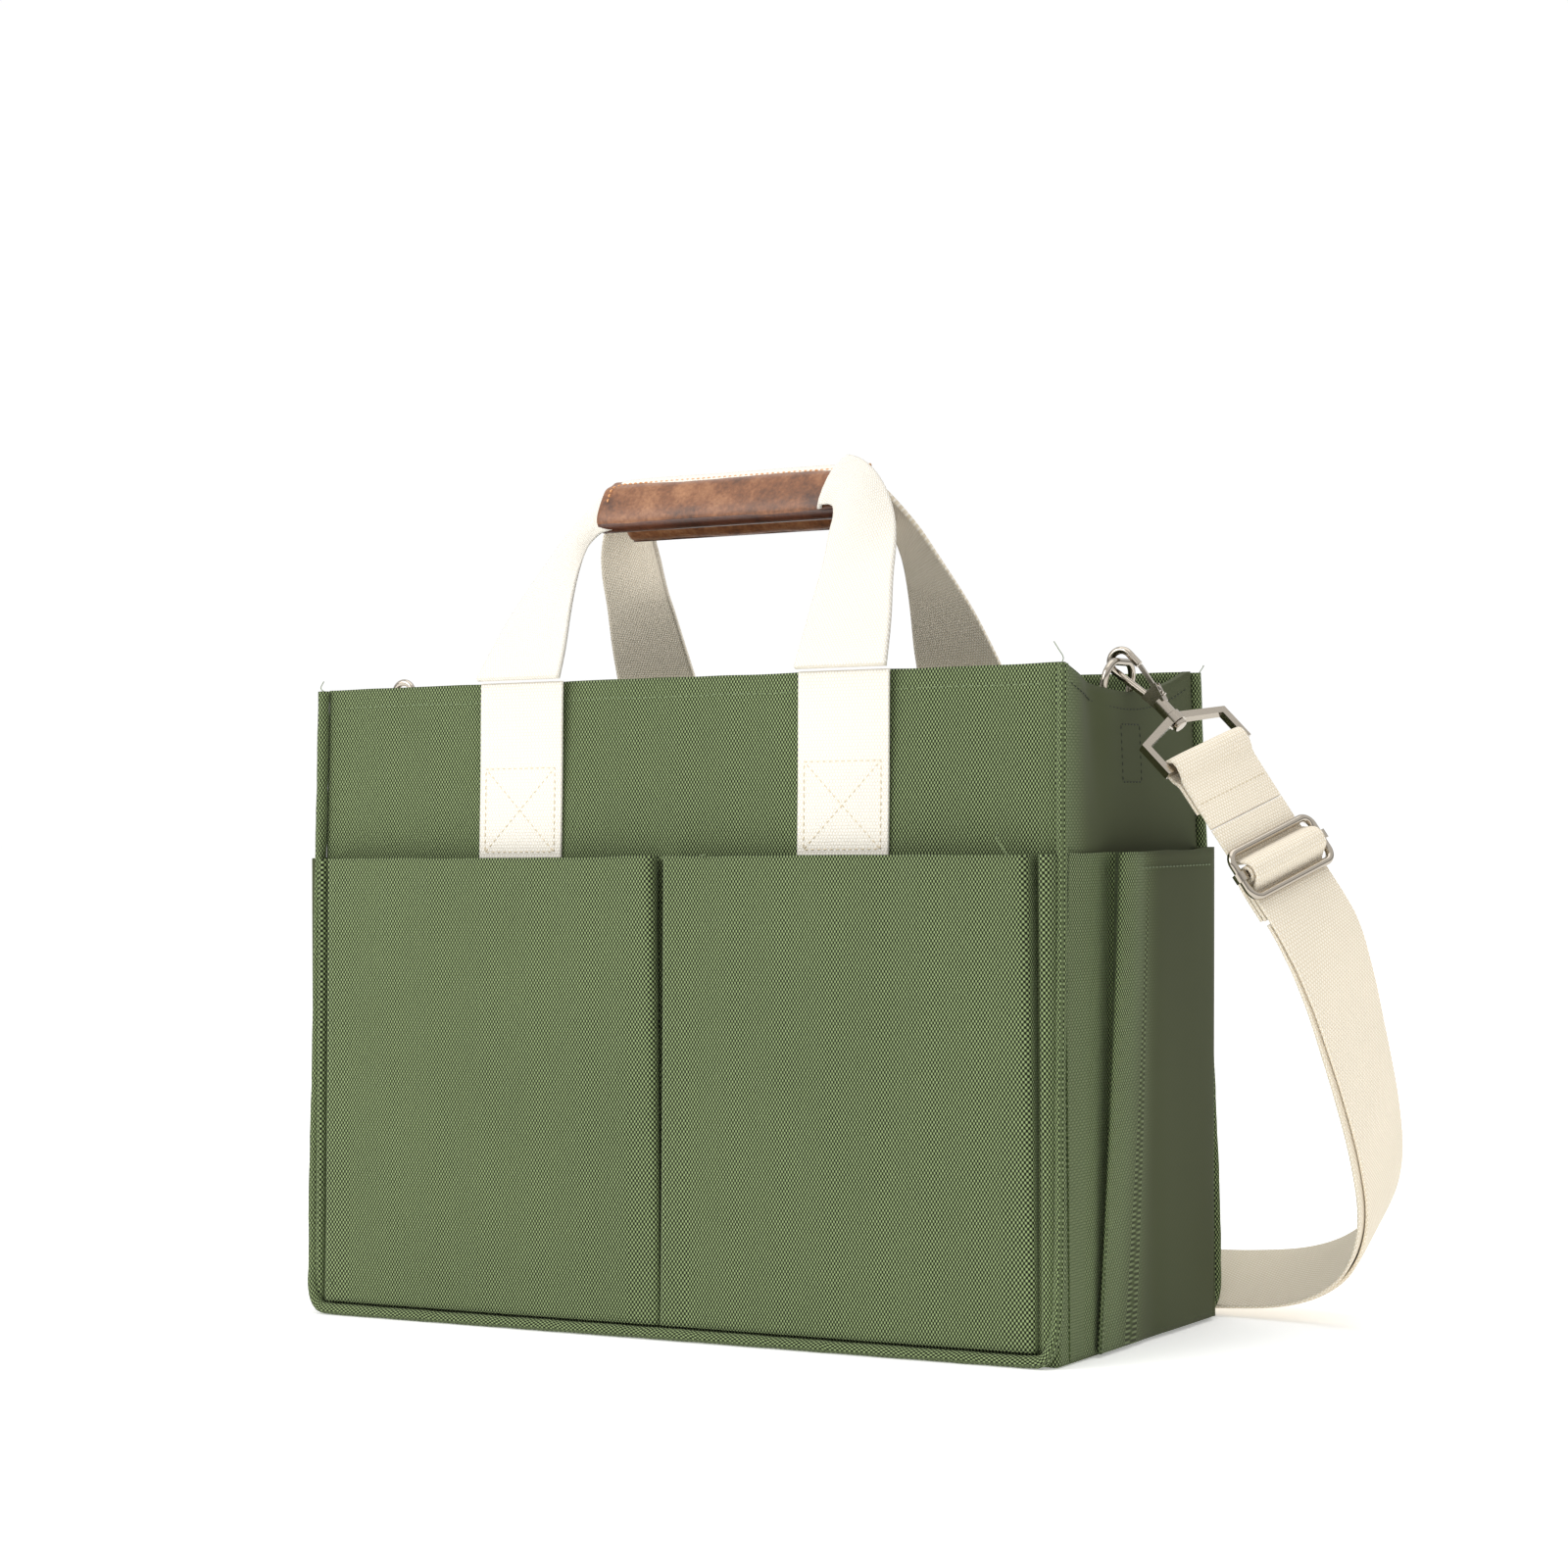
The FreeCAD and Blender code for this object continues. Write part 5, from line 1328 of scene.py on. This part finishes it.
@dataclass
class RingTab:
    """The webbing tab inside the rim that holds one D-ring."""

    palette: Palette
    hand: Hand

    def build(self) -> None:
        """A folded strip round the ring's bar, its two layers lying on the hem."""
        low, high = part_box("ring_tab_%s" % self.hand.word)
        bar_z = high.z / MM - 2.35
        sign = self.hand.value
        foot = low.z / MM
        knots = [(158.9, foot), (158.9, bar_z - 8), (158.5, bar_z - 3), (158.0, bar_z + 0.8),
                 (156.3, bar_z + 1.95), (154.5, bar_z + 0.8), (154.6, bar_z - 1.2),
                 (156.6, bar_z - 4), (157.9, bar_z - 8), (158.0, foot)]
        line = through(knots, 100)
        path = np.stack([sign * line[:, 0], np.zeros(len(line)), line[:, 1]], 1)
        side = repeated((0, 1, 0), path)
        up = unit(np.cross(unit(np.gradient(path, axis=0)), side))
        piece = carried("ring_tab_cloth_%s" % self.hand.word, path, side, up,
                        strip_section(19.0, 0.85))
        # The tab wears the darker canvas copy: painted shade inside the rim.
        shown_as(piece, self.palette.smooth_canvas, "bag", "canvas",
                 "ring_tab_%s" % self.hand.word)


def loose_threads(palette: Palette, shell: BagShell) -> None:
    """Cut thread ends at the seams' tops and the pockets' corners, each a curling tube."""
    rng = np.random.default_rng(7)
    turn = np.linspace(0, 2 * math.pi, 6, endpoint=False)
    circle = np.stack([0.17 * np.cos(turn), 0.17 * np.sin(turn)], 1)
    places = [(162, 246, 1.0), (-162, 246, 1.0), (4, 179, 9.0), (20, 179.5, 9.4),
              (146, 179.5, 9.4), (-153, 12, 3.4), (90, 151, 3.0), (52, 151, 3.0)]
    for wall in Wall:
        for number, (x, z, out) in enumerate(places):
            bend = rng.uniform(-1, 1, (3, 3)) * 2.2
            steps = np.cumsum(np.vstack([[0, 0, 0], bend + [0, wall.value * 0.5, 1.4]]), axis=0)
            start = np.array([x, wall.value * (shell.half_depth(z) + out), z - 1.0])
            path = through(start + steps, 12)
            tangent = unit(np.gradient(path, axis=0))
            side = unit(np.cross(tangent, np.array([0.3, 1.0, 0.2])))
            end = carried("thread_end_%s_%d" % (wall.word, number), path, side,
                          unit(np.cross(tangent, side)), circle)
            shown_as(end, palette.green_thread if number < 6 else palette.cream_thread, "bag",
                     "canvas")


def dress_hardware(palette: Palette) -> None:
    """Gives every metal node its plating."""
    for name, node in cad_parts.items():
        metal = name.startswith(("d_ring", "snap_hook", "hook_gate", "gate_", "swivel",
                                 "strap_ring", "slider_"))
        if metal:
            node.data.materials.clear()
            node.data.materials.append(palette.nickel)
            for slot in node.material_slots:
                slot.material = palette.nickel


# ------------------------------------------------------------------ stage


class Studio:
    """A pale floor, soft lights and the camera."""

    def build(self) -> None:
        """Makes the stage."""
        self.floor()
        self.lights()
        self.camera()

    def floor(self) -> None:
        """A plain pale floor that runs far behind the bag."""
        x, y = np.meshgrid(np.linspace(-20000, 20000, 9), np.linspace(-20000, 20000, 9))
        floor = mesh_object("floor", np.stack([x, y, 0 * x], -1), grid_faces(9, 9))
        material = PlainFinish("paper pale backdrop", "#fbfbfa", 0.9, glow=0.32).build()
        floor.data.materials.append(material)

    def lights(self) -> None:
        """A big soft key from the front left, a top light and a white surround.

        The surround is white to the camera; as light it is brightest overhead and has a dim
        band near the horizon, which gives the metal something to reflect.
        """
        world = bpy.data.worlds.new("soft surround")
        bpy.context.scene.world = world
        world.use_nodes = True
        tree = world.node_tree
        tree.nodes.clear()
        height = add(tree, "ShaderNodeSeparateXYZ",
                     {0: add(tree, "ShaderNodeTexCoord").outputs["Generated"]}).outputs[2]
        half = add(tree, "ShaderNodeMath", {0: height, 1: 0.5, 2: 0.5},
                   operation="MULTIPLY_ADD").outputs[0]
        bands = [(0.30, 0.75), (0.50, 0.50), (0.58, 0.34), (0.72, 1.0)]
        glow = add(tree, "ShaderNodeValToRGB", {0: half},
                   [(level, (grey, grey, grey, 1)) for level, grey in bands]).outputs[0]
        seen = add(tree, "ShaderNodeLightPath").outputs["Is Camera Ray"]
        white = add(tree, "ShaderNodeMix", {0: seen, 6: glow, 7: (1.15, 1.15, 1.15, 1)},
                    data_type="RGBA").outputs[2]
        shade = add(tree, "ShaderNodeBackground", {0: white, 1: 0.88})
        out = add(tree, "ShaderNodeOutputWorld")
        tree.links.new(shade.outputs[0], out.inputs[0])
        bpy.context.scene.view_settings.view_transform = "Standard"
        for name, place, size, power in (("key", (-0.9, -1.6, 1.2), 1.4, 20.0),
                                         ("top", (0.1, 0.0, 1.9), 1.6, 9.0)):
            data = bpy.data.lights.new(name, "AREA")
            data.size = size
            data.energy = power
            lamp = bpy.data.objects.new(name, data)
            bpy.context.scene.collection.objects.link(lamp)
            lamp.location = place
            aim = Vector((0, 0, 0.12)) - Vector(place)
            lamp.rotation_euler = aim.to_track_quat("-Z", "Y").to_euler()

    def camera(self) -> None:
        """The viewing angle: from the front right, level with the pockets' tops."""
        azimuth, pitch, roll = (math.radians(a) for a in (30.47, 0.52, -0.81))
        forward = Vector((-math.sin(azimuth) * math.cos(pitch),
                          math.cos(azimuth) * math.cos(pitch), math.sin(pitch)))
        right = Vector((math.cos(azimuth), math.sin(azimuth), 0))
        up = right.cross(forward)
        turned_right = math.cos(roll) * right + math.sin(roll) * up
        turned_up = -math.sin(roll) * right + math.cos(roll) * up
        data = bpy.data.cameras.new("camera")
        data.sensor_width = 36.0
        data.lens = 36.0 * 3491.5 / 1600
        data.clip_start = 0.01
        data.clip_end = 50.0
        view = bpy.data.objects.new("camera", data)
        bpy.context.scene.collection.objects.link(view)
        axes = Matrix((turned_right, turned_up, -forward)).transposed().to_4x4()
        view.matrix_world = Matrix.Translation((0.68593, -1.13982, 0.19373)) @ axes
        bpy.context.scene.camera = view


def main() -> None:
    """Builds the bag piece by piece."""
    logging.basicConfig(level=logging.INFO, format="%(name)s: %(message)s")
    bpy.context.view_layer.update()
    palette = Palette()
    Studio().build()
    Strap(palette).build()
    shell = BagShell(palette)
    shell.build()
    for wall in Wall:
        PocketBand(palette, shell, wall).build()
        Handle(palette, shell, wall).build()
    for hand in Hand:
        SidePocket(palette, shell, hand).build()
        RingTab(palette, hand).build()
    loose_threads(palette, shell)
    dress_hardware(palette)


if __name__ == "__main__":
    main()
